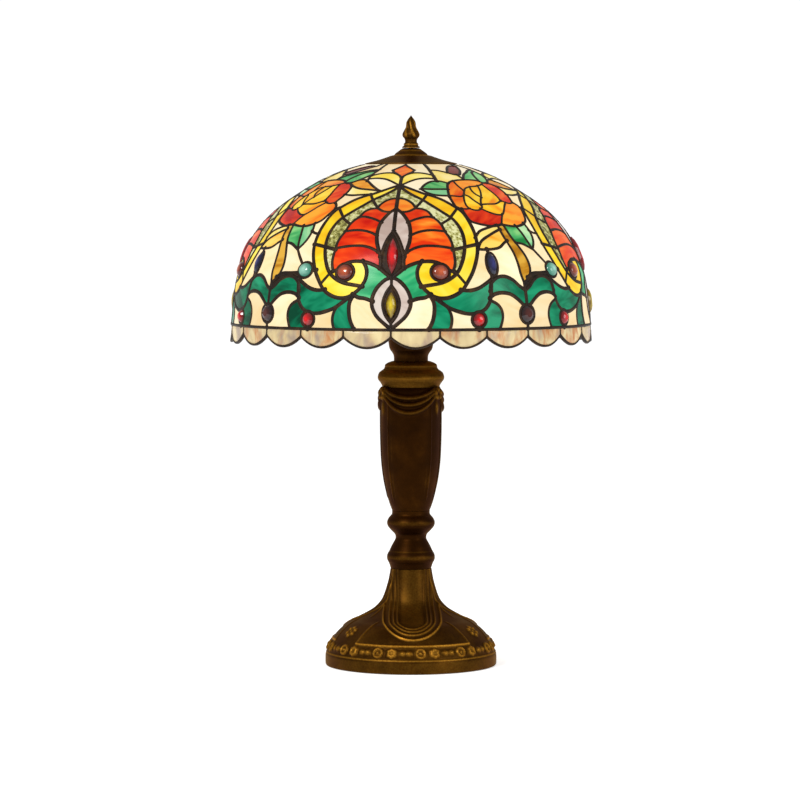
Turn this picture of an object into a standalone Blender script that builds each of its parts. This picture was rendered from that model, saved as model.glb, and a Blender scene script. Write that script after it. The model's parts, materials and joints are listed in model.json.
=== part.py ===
"""Stained glass table lamp: cast foot and vase column, twin pull-chain holders and a domed leaded shade.

Metres, +Z up. The origin is the centre of the foot's underside and the front of the lamp faces -Y.
Every turned piece is drawn as a half section of (radius, height) pairs in millimetres.
"""

import math

import bpy
from mathutils import Matrix, Vector

MM = 0.001
GAP = 0.3  # clearance between two pieces that touch, in mm

# Driving heights of the stack, in mm above the table
FOOT_TOP = 108.0
KNOP_TOP = 172.6
COLUMN_TOP = 310.7
VASE_WALL = 4.0
COLLAR_TOP = 339.0
CUP_TOP = 380.0
HUB_BASE = 400.5
HUB_TOP = 440.0

# The threaded pipe that clamps the stack, and the rod that carries the shade
PIPE_R = 5.0
PIPE_BORE = 3.5
PIPE_HOLE = PIPE_R + GAP
ROD_R = 3.2
ROD_HOLE = ROD_R + GAP
ROD_TOP = 575.4
ROD_END_TOP = 588.0  # the rod's threaded end, inside the finial

# Lamp holders: both axes leave the hub's centre and rise outwards
ARM_HEIGHT = 414.0
ARM_RISE = math.radians(12)
CHAIN_ALONG = 50.0  # where the pull chain leaves the holder, along the holder's axis

# Leaded shade: an ellipse of revolution over a slightly flared skirt
SHADE_TURN = math.radians(-6.3)  # the shade sits turned a little to the left on its stem
DOME_R = 197.0
DOME_RISE = 172.0
DOME_CENTRE = 390.0
DOME_FOOT = 383.0
FLARE_FROM = 400.0
FLARE_SLOPE = 0.075
APERTURE_R = 47.0
GLASS_THICK = 3.0
RIM_LOW, RIM_HIGH = 379.8, 382.6
SKIRT_LOW, SKIRT_NOTCH = 361.5, 372.5
SCALLOPS = 24
DOME_ROWS = 9
DOME_STEPS = 9  # facets in a quarter turn
LOBE_STEPS = 5
QUARTER = math.pi / 2
SHELL_HALF_WIDTH = 88.0
SHELL_HALF_HEIGHT = 63.0
SHELL_HEIGHT = 470.0
SHELL_PROUD = 3.0

# Facets round a turned piece, by its size
WIDE_ROUND = 32
ROUND = 24
HOLDER_ROUND = 16
SMALL_ROUND = 12


def clear_scene():
    for obj in list(bpy.data.objects):
        bpy.data.objects.remove(obj)


def new_collection(name):
    collection = bpy.data.collections.new(name)
    bpy.context.scene.collection.children.link(collection)
    return collection


def new_material(name, colour, roughness, metallic=0.0):
    material = bpy.data.materials.new(name)
    material.use_nodes = True
    shader = material.node_tree.nodes["Principled BSDF"]
    shader.inputs["Base Color"].default_value = (*colour, 1)
    shader.inputs["Roughness"].default_value = roughness
    shader.inputs["Metallic"].default_value = metallic
    return material


clear_scene()
LAMP = new_collection("stained_glass_table_lamp")
CUTTERS = new_collection("cutters")

BRONZE = new_material("antique_bronze", (0.055, 0.030, 0.012), 0.45, 0.6)
BRASS = new_material("aged_brass", (0.45, 0.30, 0.12), 0.35, 1.0)
STEEL = new_material("zinc_steel", (0.55, 0.55, 0.53), 0.35, 1.0)
FELT = new_material("green_felt", (0.02, 0.09, 0.05), 0.95)
RUBBER = new_material("black_rubber", (0.02, 0.02, 0.02), 0.7)
PHENOLIC = new_material("black_phenolic", (0.03, 0.025, 0.02), 0.4)
BULB = new_material("frosted_glass", (0.95, 0.92, 0.85), 0.5)
LEAD = new_material("patinated_lead", (0.05, 0.035, 0.02), 0.5, 0.5)
AMBER = new_material("rose_glass", (0.85, 0.45, 0.12), 0.2)
RED = new_material("shell_glass", (0.80, 0.15, 0.03), 0.2)
CREAM = new_material("skirt_glass", (0.80, 0.66, 0.45), 0.2)


def finish(obj, name, material, collection=None):
    obj.name = name
    obj.data.name = name
    obj.data.materials.append(material)
    for other in list(obj.users_collection):
        other.objects.unlink(obj)
    (collection or LAMP).objects.link(obj)
    return obj


def line_object(points, closed):
    """A mesh of edges through (radius, height) points in mm, in the XZ plane."""
    mesh = bpy.data.meshes.new("line")
    edges = [(i, i + 1) for i in range(len(points) - 1)]
    if closed:
        edges.append((len(points) - 1, 0))
    mesh.from_pydata([(r * MM, 0, z * MM) for r, z in points], edges, [])
    return bpy.data.objects.new("line", mesh)


def add_screw(obj, steps, angle=2 * math.pi):
    screw = obj.modifiers.new("turn", "SCREW")
    screw.axis = "Z"
    screw.angle = angle
    screw.steps = steps
    screw.render_steps = steps
    screw.use_merge_vertices = angle == 2 * math.pi
    screw.merge_threshold = 0.00001
    screw.use_smooth_shade = True
    return screw


def turned(name, section, material, steps=ROUND, place=None):
    """A turned piece. The section runs down its outer side; it is closed unless both ends are on the axis."""
    on_axis = section[0][0] == 0 and section[-1][0] == 0
    obj = finish(line_object(section, not on_axis), name, material)
    add_screw(obj, steps)
    if place is not None:
        obj.matrix_world = place
    return obj


def tube_section(inner, outer, low, high):
    return [(inner, high), (outer, high), (outer, low), (inner, low)]


def hex_nut(name, across_corners, bore, low, high):
    """A hexagonal nut on the lamp's axis: a flat outline with a round hole."""
    curve = bpy.data.curves.new(name, "CURVE")
    curve.dimensions = "2D"
    curve.fill_mode = "BOTH"
    curve.extrude = (high - low) / 2 * MM
    for radius, corners in ((across_corners / 2, 6), (bore, SMALL_ROUND)):
        add_ring(curve, radius, corners)
    obj = finish(bpy.data.objects.new(name, curve), name, STEEL)
    obj.location = (0, 0, (low + high) / 2 * MM)
    return obj


def add_ring(curve, radius, corners):
    add_outline(curve, [
        (radius * math.cos(2 * math.pi * i / corners), radius * math.sin(2 * math.pi * i / corners))
        for i in range(corners)
    ])


def add_outline(curve, points):
    spline = curve.splines.new("POLY")
    spline.points.add(len(points) - 1)
    spline.use_cyclic_u = True
    for point, (x, y) in zip(spline.points, points):
        point.co = (x * MM, y * MM, 0, 1)


def cutter(name, radius, depth, place, vertices=SMALL_ROUND):
    """A cylinder that only cuts: its axis is the local Z of the given matrix, and it starts at the origin."""
    bpy.ops.mesh.primitive_cylinder_add(vertices=vertices, radius=radius * MM, depth=depth * MM)
    obj = finish(bpy.context.object, name, STEEL, CUTTERS)
    obj.data.transform(Matrix.Translation((0, 0, depth / 2 * MM)))
    obj.matrix_world = place
    obj.hide_render = True
    obj.display_type = "WIRE"
    return obj


def cut(obj, tool, operation="DIFFERENCE"):
    boolean = obj.modifiers.new("cut_" + tool.name, "BOOLEAN")
    boolean.operation = operation
    boolean.object = tool


def build_foot():
    """The hollow cast foot, its felt, the cord bush in its back and the clamping nut inside."""
    outer = [
        (PIPE_HOLE, FOOT_TOP), (22.4, FOOT_TOP), (24.9, 92), (30.4, 75), (37.0, 66), (48.5, 57),
        (67.6, 48.0), (78.5, 40), (87.2, 30.5), (93.2, 20), (95.5, 10), (95.5, 3), (94.2, 0.5),
    ]
    cavity = [(89.2, 0.5), (89.2, 19), (82, 30), (66, 42), (36, 54), (22, 58), (PIPE_HOLE, 58)]
    foot = turned("base_casting", outer + cavity, BRONZE, WIDE_ROUND)
    cord_way = Matrix.Translation((0, 0.080, 0.012)) @ Matrix.Rotation(-QUARTER, 4, "X")
    cut(foot, cutter("cord_hole", 5.0, 30, cord_way))
    turned("felt_pad", [(0, 2), (88.0, 2), (88.0, 0), (0, 0)], FELT, WIDE_ROUND)
    bush = [(3.4, 17.8), (7, 17.8), (7, 16.1), (4.7, 15.7), (4.7, 8.4), (6, 8.4), (6, 6.2), (3.4, 6.2)]
    turned("cord_grommet", bush, RUBBER, SMALL_ROUND, cord_way)
    turned("bottom_washer", tube_section(PIPE_HOLE, 16, 55.9, 57.7), STEEL, HOLDER_ROUND)
    hex_nut("bottom_nut", 19.6, PIPE_HOLE, 48, 55.6)
    turned("threaded_pipe", tube_section(PIPE_BORE, PIPE_R, 42, 405.5), BRASS, SMALL_ROUND)


def build_column():
    """The turned stack that the pipe clamps on the foot: knop, vase, collar and the cup under the shade."""
    foot_z = FOOT_TOP + GAP
    knop = [
        (PIPE_HOLE, KNOP_TOP), (21.1, KNOP_TOP), (21.6, 167), (25.4, 163.5), (26.9, 159.3), (25.4, 154.5),
        (17.6, 145.5), (17.6, 140), (24.2, 127.5), (26.6, 121), (25.0, 114.5), (22.7, foot_z),
        (PIPE_HOLE, foot_z),
    ]
    turned("lower_knop", knop, BRONZE)
    vase = [
        (32.2, COLUMN_TOP), (34.2, 303), (34.4, 268), (32.9, 228), (29.8, 203), (26.2, 188),
        (21.0, KNOP_TOP + GAP),
    ]
    turned("vase_column", vase + [(r - VASE_WALL, z) for r, z in reversed(vase)], BRONZE)
    collar_z = COLUMN_TOP + GAP
    collar = [
        (PIPE_HOLE, COLLAR_TOP), (21.5, COLLAR_TOP), (28.9, 335.2), (29.6, 330.8), (36.2, 325.2),
        (37.2, 321.8), (36.2, 318.4), (31.6, collar_z), (PIPE_HOLE, collar_z),
    ]
    turned("column_collar", collar, BRONZE)
    cup_z = COLLAR_TOP + GAP
    cup_outer = [(30.5, CUP_TOP), (30.0, 373), (27.6, 366), (23.4, 357), (19.2, 348), (19.2, cup_z)]
    cup_inner = [(PIPE_HOLE, cup_z), (PIPE_HOLE, 343), (14, 346), (21, 359), (28.3, CUP_TOP)]
    turned("neck_cup", cup_outer + cup_inner, BRONZE)
    cover = [
        (PIPE_HOLE, 400.2), (9.5, 400.2), (18, 393.5), (26, 388.4), (30.2, 383.2), (30.2, CUP_TOP + GAP),
        (28.4, CUP_TOP + GAP), (25, 386.4), (10.5, 395.4), (PIPE_HOLE, 396.4),
    ]
    turned("cluster_cover", cover, BRONZE)


def holder_frame(side):
    """A lamp holder's frame: local Z runs from the hub's centre out along it. Side is -1 or 1."""
    return Matrix.Translation((0, 0, ARM_HEIGHT * MM)) @ Matrix.Rotation(side * (QUARTER - ARM_RISE), 4, "Y")


def build_holder(side, word):
    """One lamp holder with its arm, wires, switch chain and bulb."""
    frame = holder_frame(side)
    turned(f"socket_arm_{word}", tube_section(3.6, PIPE_R, 12.2, 27), BRASS, SMALL_ROUND, frame)
    cap = [
        (17.0, 41), (18.5, 41), (18.0, 36), (12, 28), (7.5, 25), (7.5, 23.5), (PIPE_HOLE, 23.5),
        (PIPE_HOLE, 27), (10, 29.5), (16.4, 37),
    ]
    turned(f"socket_cap_{word}", cap, BRASS, HOLDER_ROUND, frame)
    shell = turned(
        f"socket_shell_{word}",
        [(17.3, 84), (18.9, 84), (18.9, 81), (18.5, 80), (18.5, 41.3), (17.3, 41.3)],
        BRASS, HOLDER_ROUND, frame,
    )
    core = turned(
        f"socket_core_{word}",
        [(14.7, 70), (16.8, 70), (16.8, 42), (2.6, 42), (2.6, 52), (14.7, 52)],
        PHENOLIC, HOLDER_ROUND, frame,
    )
    turned(f"socket_thread_{word}", tube_section(13.7, 14.3, 52.4, 78), BRASS, HOLDER_ROUND, frame)
    turned(f"socket_contact_{word}", [(0, 54.6), (2.2, 54), (2.2, 45), (0, 45)], BRASS, 8, frame)

    chain_x = side * CHAIN_ALONG * math.cos(ARM_RISE)
    chain_place = Matrix.Translation((chain_x * MM, 0, 0))
    bore = cutter(f"chain_bore_{word}", 2.5, 21, Matrix.Translation((chain_x * MM, 0, 0.395)), 12)
    cut(shell, bore)
    cut(core, bore)
    turned(f"chain_guide_{word}", tube_section(2.3, 3.6, 398.5, 404.4), BRASS, 12, chain_place)
    turned(f"pull_chain_{word}", bead_chain(412.0, 366.2), BRASS, 6, chain_place)
    bell = [(0, 365.9), (1.6, 365.6), (2.6, 362.5), (4.4, 358.4), (4.2, 356.6), (2.0, 355.8), (0, 355.6)]
    turned(f"pull_bell_{word}", bell, BRASS, 12, chain_place)

    screw_cap = [
        (0, 60), (12.2, 62), (12.2, 81), (13.2, 81), (13.2, 60), (4.5, 56.4), (4.5, 55.2), (0, 55.2),
    ]
    turned(f"bulb_cap_{word}", screw_cap, BRASS, HOLDER_ROUND, frame)
    turned(f"bulb_glass_{word}", bulb_section(), BULB, HOLDER_ROUND, frame)
    lead_wire(side, word)


def bead_chain(high, low, bead_r=1.5, link_r=0.6, pitch=4.2):
    """The section of a ball chain: beads joined by thin links."""
    section = [(0, high)]
    top = high
    while top - pitch >= low:
        section += [(bead_r, top - 1.0), (bead_r, top - 2.2), (link_r, top - 3.2)]
        top -= pitch
        section.append((link_r, top))
    return section + [(0, top)]


def bulb_section(wall=0.8):
    """A thin-walled pear-shaped envelope, open at its foot inside the screw cap."""
    tip = 155.0
    outer = [
        (0, tip), (15, 151.5), (25.5, 141), (30, 125), (26.5, 108), (17.5, 94.5), (12.8, 86), (11.8, 81.5),
        (11.8, 72),
    ]
    return outer + [(max(0, r - wall), min(z, tip - wall)) for r, z in reversed(outer)]


def lead_wire(side, word):
    """The short insulated lead from the hub's hollow through the arm to the holder."""
    frame = holder_frame(side)
    start = Vector((side * 2.0, 0, 407.5)) * MM
    bend = Vector((side * 4.5, 0, 411.5)) * MM
    along = [frame @ Vector((0, 0, s * MM)) for s in (9, 14, 22, 31, 41.4)]
    curve = bpy.data.curves.new("lead", "CURVE")
    curve.dimensions = "3D"
    curve.bevel_depth = 1.2 * MM
    curve.bevel_resolution = 2
    curve.use_fill_caps = True
    spline = curve.splines.new("POLY")
    spline.points.add(len(along) + 1)
    for point, place in zip(spline.points, [start, bend, *along]):
        point.co = (*place, 1)
    finish(bpy.data.objects.new("lead", curve), f"lead_wire_{word}", RUBBER)


def build_cluster():
    """The hollow hub on top of the pipe, with both lamp holders screwed into it."""
    section = [
        (ROD_HOLE, HUB_TOP), (13, HUB_TOP), (15, 438), (15, HUB_BASE), (PIPE_HOLE, HUB_BASE),
        (PIPE_HOLE, 404), (11, 404), (11, 428), (ROD_HOLE, 428),
    ]
    hub = turned("cluster_hub", section, BRASS)
    for side, word in ((-1, "left"), (1, "right")):
        start = holder_frame(side) @ Matrix.Translation((0, 0, 6 * MM))
        cut(hub, cutter(f"arm_hole_{word}", PIPE_HOLE, 20, start))
        build_holder(side, word)


def build_stem():
    """The rod above the hub, its threaded end, and the nut and three-armed wheel that the shade rests on."""
    turned("riser_rod", [(0, ROD_TOP), (ROD_R, ROD_TOP), (ROD_R, 429), (0, 429)], BRASS, SMALL_ROUND)
    end_low = ROD_TOP + GAP
    end = [(0, ROD_END_TOP), (2.4, ROD_END_TOP), (ROD_R, ROD_END_TOP - 0.8), (ROD_R, end_low), (0, end_low)]
    turned("riser_end", end, BRASS, SMALL_ROUND)
    hex_nut("riser_nut", 16, ROD_HOLE, 543, 547.9)
    build_wheel("shade_wheel", 548.2, 551.2)


def build_wheel(name, low, high, hub_r=9.0, ring_in=37.0, ring_out=44.0, arm_half=4.0):
    """A flat three-armed wheel: an outer ring, a bored hub and three windows between the arms."""
    curve = bpy.data.curves.new(name, "CURVE")
    curve.dimensions = "2D"
    curve.fill_mode = "BOTH"
    curve.extrude = (high - low) / 2 * MM
    add_ring(curve, ring_out, 36)
    add_ring(curve, ROD_HOLE, SMALL_ROUND)
    for arm in range(3):
        middle = math.radians(120 * arm + 60)
        outline = []
        for radius, steps in ((ring_in, range(-4, 5)), (hub_r, range(2, -3, -1))):
            reach = math.radians(60) - math.asin(arm_half / radius)
            most = max(abs(s) for s in steps)
            outline += [
                (radius * math.cos(middle + reach * s / most), radius * math.sin(middle + reach * s / most))
                for s in steps
            ]
        add_outline(curve, outline)
    obj = finish(bpy.data.objects.new(name, curve), name, STEEL)
    obj.location = (0, 0, (low + high) / 2 * MM)


def build_top():
    """The spun cap over the shade's opening and the finial with its threaded bush."""
    turned("top_ring", tube_section(42.0, 45.6, 551.5, 558.0), LEAD, ROUND)
    cap = [
        (3.7, 575.5), (9.0, 575.3), (13.3, 572.8), (17.9, 569.2), (22.6, 567.3), (36.8, 562.8), (51, 559.2),
        (51, 558.4), (36, 561.4), (22, 565.8), (12, 571.2), (3.7, 573.6),
    ]
    turned("heat_cap", cap, BRONZE)
    turned("finial_bush", tube_section(3.6, 5.0, 576, 584), BRASS, SMALL_ROUND)
    finial = [
        (0, 612), (1.4, 610.2), (5.0, 603), (6.2, 597), (9.4, 590.4), (7.0, 585.2), (6.7, 582), (10, 577.2),
        (10, 575.8), (5.4, 575.8), (5.4, 584.3), (3.7, 584.3), (3.7, 589), (0, 590),
    ]
    turned("finial", finial, BRONZE, HOLDER_ROUND)


def dome_section(proud=0.0):
    """(radius, height) down the middle of the shade's wall, from the opening at the top to the rim band."""
    wide, rise = DOME_R + proud, DOME_RISE + proud
    top = math.acos(APERTURE_R / wide)
    low = math.asin((FLARE_FROM - DOME_CENTRE) / rise)
    points = []
    for step in range(DOME_ROWS + 1):
        angle = top + (low - top) * step / DOME_ROWS
        points.append((wide * math.cos(angle), DOME_CENTRE + rise * math.sin(angle)))
    points.append((points[-1][0] + FLARE_SLOPE * (FLARE_FROM - DOME_FOOT), DOME_FOOT))
    return points


def dome_sector(name, material, start, angle, proud=0.0):
    """A stretch of the shade's wall from azimuth start, counted from the front towards +X."""
    obj = finish(line_object(dome_section(proud), False), name, material)
    steps = round(DOME_STEPS * angle / QUARTER)
    add_screw(obj, steps, angle)
    obj.rotation_euler = (0, 0, start - QUARTER)
    wall = obj.modifiers.new("wall", "SOLIDIFY")
    wall.thickness = GLASS_THICK * MM
    wall.offset = 0
    wall.use_even_offset = True
    return obj


def shell_outline(name, azimuth, inset):
    """An oval cutter that points out of the shade where a shell panel sits."""
    place = Matrix.Rotation(azimuth, 4, "Z") @ Matrix.Translation((0, -0.05, SHELL_HEIGHT * MM))
    place = place @ Matrix.Rotation(QUARTER, 4, "X")
    tool = cutter(name, 1000, 190, place, 36)
    across, up = (SHELL_HALF_WIDTH - inset) * MM, (SHELL_HALF_HEIGHT - inset) * MM
    tool.data.transform(Matrix.Diagonal((across, up, 1, 1)))
    return tool


def build_shade():
    """Four rose panels meet over four raised shell panels; below hang a rim band and a scalloped skirt."""
    seam = GAP / 2 / APERTURE_R
    words = ("front", "right", "back", "left")
    holes = [shell_outline(f"shell_hole_{w}", SHADE_TURN + i * QUARTER, 0.0) for i, w in enumerate(words)]
    for i, word in enumerate(words):
        azimuth = SHADE_TURN + i * QUARTER
        following = words[(i + 1) % 4]
        rose = dome_sector(f"rose_panel_{word}_{following}", AMBER, azimuth + seam, QUARTER - 2 * seam)
        cut(rose, holes[i])
        cut(rose, holes[(i + 1) % 4])
        reach = math.radians(36)
        shell = dome_sector(f"shell_panel_{word}", RED, azimuth - reach, 2 * reach, SHELL_PROUD)
        cut(shell, shell_outline(f"shell_trim_{word}", azimuth, GAP), "INTERSECT")
        build_skirt(f"skirt_{word}_{following}", azimuth + seam / 4, QUARTER - seam / 2)
    foot_r = dome_section()[-1][0]
    turned("rim_band", tube_section(foot_r - 2.0, foot_r + 2.0, RIM_LOW, RIM_HIGH), LEAD, 4 * DOME_STEPS)


def build_skirt(name, start, angle):
    """A quarter of the scalloped skirt: a flat grid bent round the rim, its lower edge in round lobes."""
    lobes = SCALLOPS // 4
    columns = lobes * LOBE_STEPS
    bpy.ops.mesh.primitive_grid_add(x_subdivisions=columns, y_subdivisions=1, size=2)
    obj = finish(bpy.context.object, name, CREAM)
    top_r = dome_section()[-1][0]
    for vertex in obj.data.vertices:
        along = (vertex.co.x + 1) / 2
        across = (along * lobes) % 1 if along < 1 else 0
        drop = math.sqrt(max(0.0, 1 - (2 * across - 1) ** 2))
        low = SKIRT_NOTCH + (SKIRT_LOW - SKIRT_NOTCH) * drop
        height = RIM_LOW - GAP if vertex.co.y > 0 else low
        radius = top_r + 0.06 * (RIM_LOW - height)
        azimuth = start + angle * along
        vertex.co = (radius * math.sin(azimuth) * MM, -radius * math.cos(azimuth) * MM, height * MM)
    wall = obj.modifiers.new("wall", "SOLIDIFY")
    wall.thickness = GLASS_THICK * MM
    wall.offset = 0
    return obj


build_foot()
build_column()
build_cluster()
build_stem()
build_top()
build_shade()
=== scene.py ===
"""The looks of a stained glass table lamp: leaded shade, jewels, relief bronze stand, light and camera."""

import json
import math
import random

import bmesh
import bpy
import numpy as np
from mathutils import Matrix, Vector, noise
from mathutils.geometry import delaunay_2d_cdt

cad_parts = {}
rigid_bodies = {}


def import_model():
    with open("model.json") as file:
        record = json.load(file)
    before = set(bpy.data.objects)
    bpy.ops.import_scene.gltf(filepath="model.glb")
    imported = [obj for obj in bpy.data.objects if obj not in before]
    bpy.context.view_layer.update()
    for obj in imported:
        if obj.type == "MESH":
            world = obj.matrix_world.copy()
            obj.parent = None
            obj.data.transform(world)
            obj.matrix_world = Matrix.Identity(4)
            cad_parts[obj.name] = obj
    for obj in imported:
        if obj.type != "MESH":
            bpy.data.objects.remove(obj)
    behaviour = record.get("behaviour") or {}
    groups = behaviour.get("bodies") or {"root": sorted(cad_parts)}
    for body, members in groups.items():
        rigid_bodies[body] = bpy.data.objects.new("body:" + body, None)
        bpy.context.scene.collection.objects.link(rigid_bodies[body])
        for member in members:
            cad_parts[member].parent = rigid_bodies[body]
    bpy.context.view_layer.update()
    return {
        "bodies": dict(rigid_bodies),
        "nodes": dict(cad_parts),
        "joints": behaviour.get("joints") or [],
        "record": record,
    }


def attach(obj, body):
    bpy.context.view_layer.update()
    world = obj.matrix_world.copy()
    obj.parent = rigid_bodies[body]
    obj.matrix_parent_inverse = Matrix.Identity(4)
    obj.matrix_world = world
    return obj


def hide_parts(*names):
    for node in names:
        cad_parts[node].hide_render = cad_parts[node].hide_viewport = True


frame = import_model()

MM = 0.001

# ---------------------------------------------------------------------------------------------
# Camera, light and floor
# ---------------------------------------------------------------------------------------------

CAMERA_PLACE = (-0.0122, -3.99, 0.525)
CAMERA_AIM = (-0.0122, 0.0, 0.2957)
CAMERA_LENS = 161.5
CAMERA_SENSOR = 36
WORLD_BEHIND = 1.05
WORLD_ON_LAMP = 0.62
FLOOR_HALF = 30
FLOOR_LIFT = 0.46  # keeps the far floor as white as the world behind it
LIGHTS_AIM = (0, 0, 0.3)
LIGHTS = {  # place, size and power
    "key": ((-1.6, -2.2, 2.0), 0.9, 62),
    "fill": ((2.2, -1.6, 1.2), 1.3, 26),
}


def add_object(name, data):
    made = bpy.data.objects.new(name, data)
    bpy.context.scene.collection.objects.link(made)
    return made


def aim(obj, place, target):
    obj.location = place
    direction = Vector(target) - obj.location
    obj.rotation_euler = direction.to_track_quat("-Z", "Y").to_euler()


def add_camera():
    data = bpy.data.cameras.new("camera")
    data.lens = CAMERA_LENS
    data.sensor_width = CAMERA_SENSOR
    camera = add_object("camera", data)
    aim(camera, CAMERA_PLACE, CAMERA_AIM)
    bpy.context.scene.camera = camera


def add_studio():
    scene = bpy.context.scene
    scene.view_settings.view_transform = "Standard"
    studio = Tree("studio", "worlds", "Background")
    seen = studio.node("ShaderNodeLightPath", "Is Camera Ray")
    studio.set(Color=(1, 1, 1), Strength=studio.spread(seen, WORLD_ON_LAMP, WORLD_BEHIND))
    scene.world = studio.owner
    for name, (place, size, power) in LIGHTS.items():
        data = bpy.data.lights.new(name, "AREA")
        data.size = size
        data.energy = power
        aim(add_object(name, data), place, LIGHTS_AIM)

    mesh = bpy.data.meshes.new("floor")
    grid = bmesh.new()
    bmesh.ops.create_grid(grid, x_segments=2, y_segments=2, size=FLOOR_HALF)
    grid.to_mesh(mesh)
    grid.free()
    paper = Tree("floor_paper")
    paper.set(Base_Color=(0.97, 0.97, 0.97), Roughness=0.9)
    paper.set(Emission_Color=(1, 1, 1), Emission_Strength=FLOOR_LIFT)
    mesh.materials.append(paper.owner)
    add_object("floor", mesh)


# ---------------------------------------------------------------------------------------------
# Materials
# ---------------------------------------------------------------------------------------------


def srgb(r, g, b):
    """A linear colour from 0 to 255 display values."""
    return tuple((c / 255) ** 2.2 for c in (r, g, b))


class Tree:
    """Short calls for building a node tree. An input takes a constant or another node's output."""

    def __init__(self, name, kind="materials", shader="Principled BSDF"):
        self.owner = getattr(bpy.data, kind).new(name)
        self.owner.use_nodes = True
        self.tree = self.owner.node_tree
        self.shader = self.tree.nodes[shader]

    def put(self, node, inputs):
        for key, value in inputs.items():
            socket = node.inputs[key]
            if isinstance(value, bpy.types.NodeSocket):
                self.tree.links.new(value, socket)
            elif socket.type == "RGBA":
                socket.default_value = (*value, 1)
            else:
                socket.default_value = value

    def set(self, **inputs):
        """Feeds the shader; an underscore stands for a space in an input's name."""
        self.put(self.shader, {key.replace("_", " "): value for key, value in inputs.items()})

    def node(self, kind, output, inputs=(), **settings):
        """Adds a node and returns one of its outputs."""
        made = self.tree.nodes.new(kind)
        for key, value in settings.items():
            setattr(made, key, value)
        self.put(made, dict(inputs))
        return made.outputs[output]

    def attribute(self, name, output="Fac"):
        return self.node("ShaderNodeAttribute", output, attribute_name=name)

    def place(self):
        return self.node("ShaderNodeTexCoord", "Object")

    def stretch(self, vector, scale):
        """The scale is a number for each axis, or one number for all three."""
        scale = scale if isinstance(scale, tuple) else (scale, scale, scale)
        return self.node("ShaderNodeMapping", "Vector", {"Vector": vector, "Scale": scale})

    def noise(self, vector, scale, detail=3.0, roughness=0.5, distortion=0.0):
        inputs = {"Vector": self.stretch(vector, scale), "Scale": 1.0, "Detail": detail}
        inputs |= {"Roughness": roughness, "Distortion": distortion}
        return self.node("ShaderNodeTexNoise", "Fac", inputs)

    def ramp(self, factor, stops):
        """A colour ramp from {position: display colour}."""
        made = self.tree.nodes.new("ShaderNodeValToRGB")
        self.put(made, {"Fac": factor})
        elements = made.color_ramp.elements
        while len(elements) < len(stops):
            elements.new(0.5)
        for element, (position, colour) in zip(elements, stops.items()):
            element.position = position
            element.color = (*srgb(*colour), 1)
        return made.outputs["Color"]

    def mix(self, factor, first, second, blend="MIX"):
        inputs = {"Factor": factor, 6: first, 7: second}
        return self.node("ShaderNodeMix", 2, inputs, data_type="RGBA", blend_type=blend)

    def math(self, operation, first, second, clamp=False):
        return self.node("ShaderNodeMath", 0, {0: first, 1: second}, operation=operation, use_clamp=clamp)

    def spread(self, value, low, high):
        """Maps a value from 0..1 to low..high."""
        return self.node("ShaderNodeMapRange", "Result", {"Value": value, "To Min": low, "To Max": high})

    def bump(self, height, strength, distance):
        inputs = {"Height": height, "Strength": strength, "Distance": distance}
        self.set(Normal=self.node("ShaderNodeBump", "Normal", inputs))

    def backlit(self, colour, glow, share, **inputs):
        """Glows with its own colour, as if lit from behind, and sends back a share of it as a surface."""
        body = self.mix(1.0, colour, (share, share, share), "MULTIPLY")
        self.set(Base_Color=body, Emission_Color=colour, Emission_Strength=glow, **inputs)


GLASS_BODY = 0.26  # the share of its colour that glass sends back, beside what it lets through
SKIRT_BODY = 0.42
BULB_BODY = 0.45


def art_glass(name, dark, middle, light, glow, contrast):
    """Streaky opalescent glass lit from behind. Each piece has its own streak direction and shade."""
    tree = Tree(name)
    grain = tree.attribute("grain", "Vector")
    wisps = tree.noise(grain, (26, 70, 26), 2.5, 0.5, 0.4)
    shade = tree.spread(tree.attribute("tint"), -0.17, 0.17)
    swing = 0.5 * contrast
    both = tree.math("ADD", tree.spread(wisps, 0.5 - swing, 0.5 + swing), shade, clamp=True)
    colour = tree.ramp(both, {0.26: dark, 0.5: middle, 0.76: light})
    lit = tree.math("MULTIPLY", tree.attribute("glow"), glow)
    tree.backlit(colour, lit, GLASS_BODY, Roughness=0.22, Specular_IOR_Level=0.1)
    tree.bump(tree.noise(grain, (60, 60, 30), 2.0), 0.25, 0.0006)
    return tree.owner


def hammered_glass(name, dark, middle, light, glow):
    """Clear textured glass with small dimples, and painted sparkle: bright and dark facets in its colour."""
    tree = Tree(name)
    grain = tree.attribute("grain", "Vector")
    inputs = {"Vector": tree.stretch(grain, 300), "Scale": 1.0}
    dimples_and_sparkle = tree.node("ShaderNodeTexVoronoi", "Distance", inputs, feature="SMOOTH_F1")
    clouds = tree.noise(grain, (190, 300, 260), 4.0, 0.7, 1.4)
    both = tree.math("ADD", tree.math("MULTIPLY", dimples_and_sparkle, 0.5), tree.math("MULTIPLY", clouds, 0.8))
    shifted = tree.math("ADD", both, tree.spread(tree.attribute("tint"), -0.1, 0.1), clamp=True)
    # Painted sparkle: the dimples brighten and darken the colour; the clouds are the glass's own tint.
    colour = tree.ramp(shifted, {0.44: dark, 0.58: middle, 0.74: light})
    lit = tree.math("MULTIPLY", tree.attribute("glow"), glow)
    tree.backlit(colour, lit, GLASS_BODY, Roughness=0.12, Specular_IOR_Level=0.4)
    tree.bump(both, 0.7, 0.0012)
    return tree.owner


def jewel_glass(name, deep, bright, glow):
    """Pressed glass jewel: deep at the rim, brighter in the middle where the light comes through."""
    tree = Tree(name)
    cloud = tree.noise(tree.place(), 260)
    heart = tree.spread(tree.attribute("heart"), 0.0, 0.85)
    both = tree.math("ADD", heart, tree.spread(cloud, -0.2, 0.3), clamp=True)
    colour = tree.ramp(both, {0.2: deep, 0.95: bright})
    tree.backlit(colour, glow, GLASS_BODY, Roughness=0.06, Specular_IOR_Level=0.35)
    tree.set(Coat_Weight=0.35, Coat_Roughness=0.02)
    tree.bump(cloud, 0.08, 0.0003)
    return tree.owner


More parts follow.
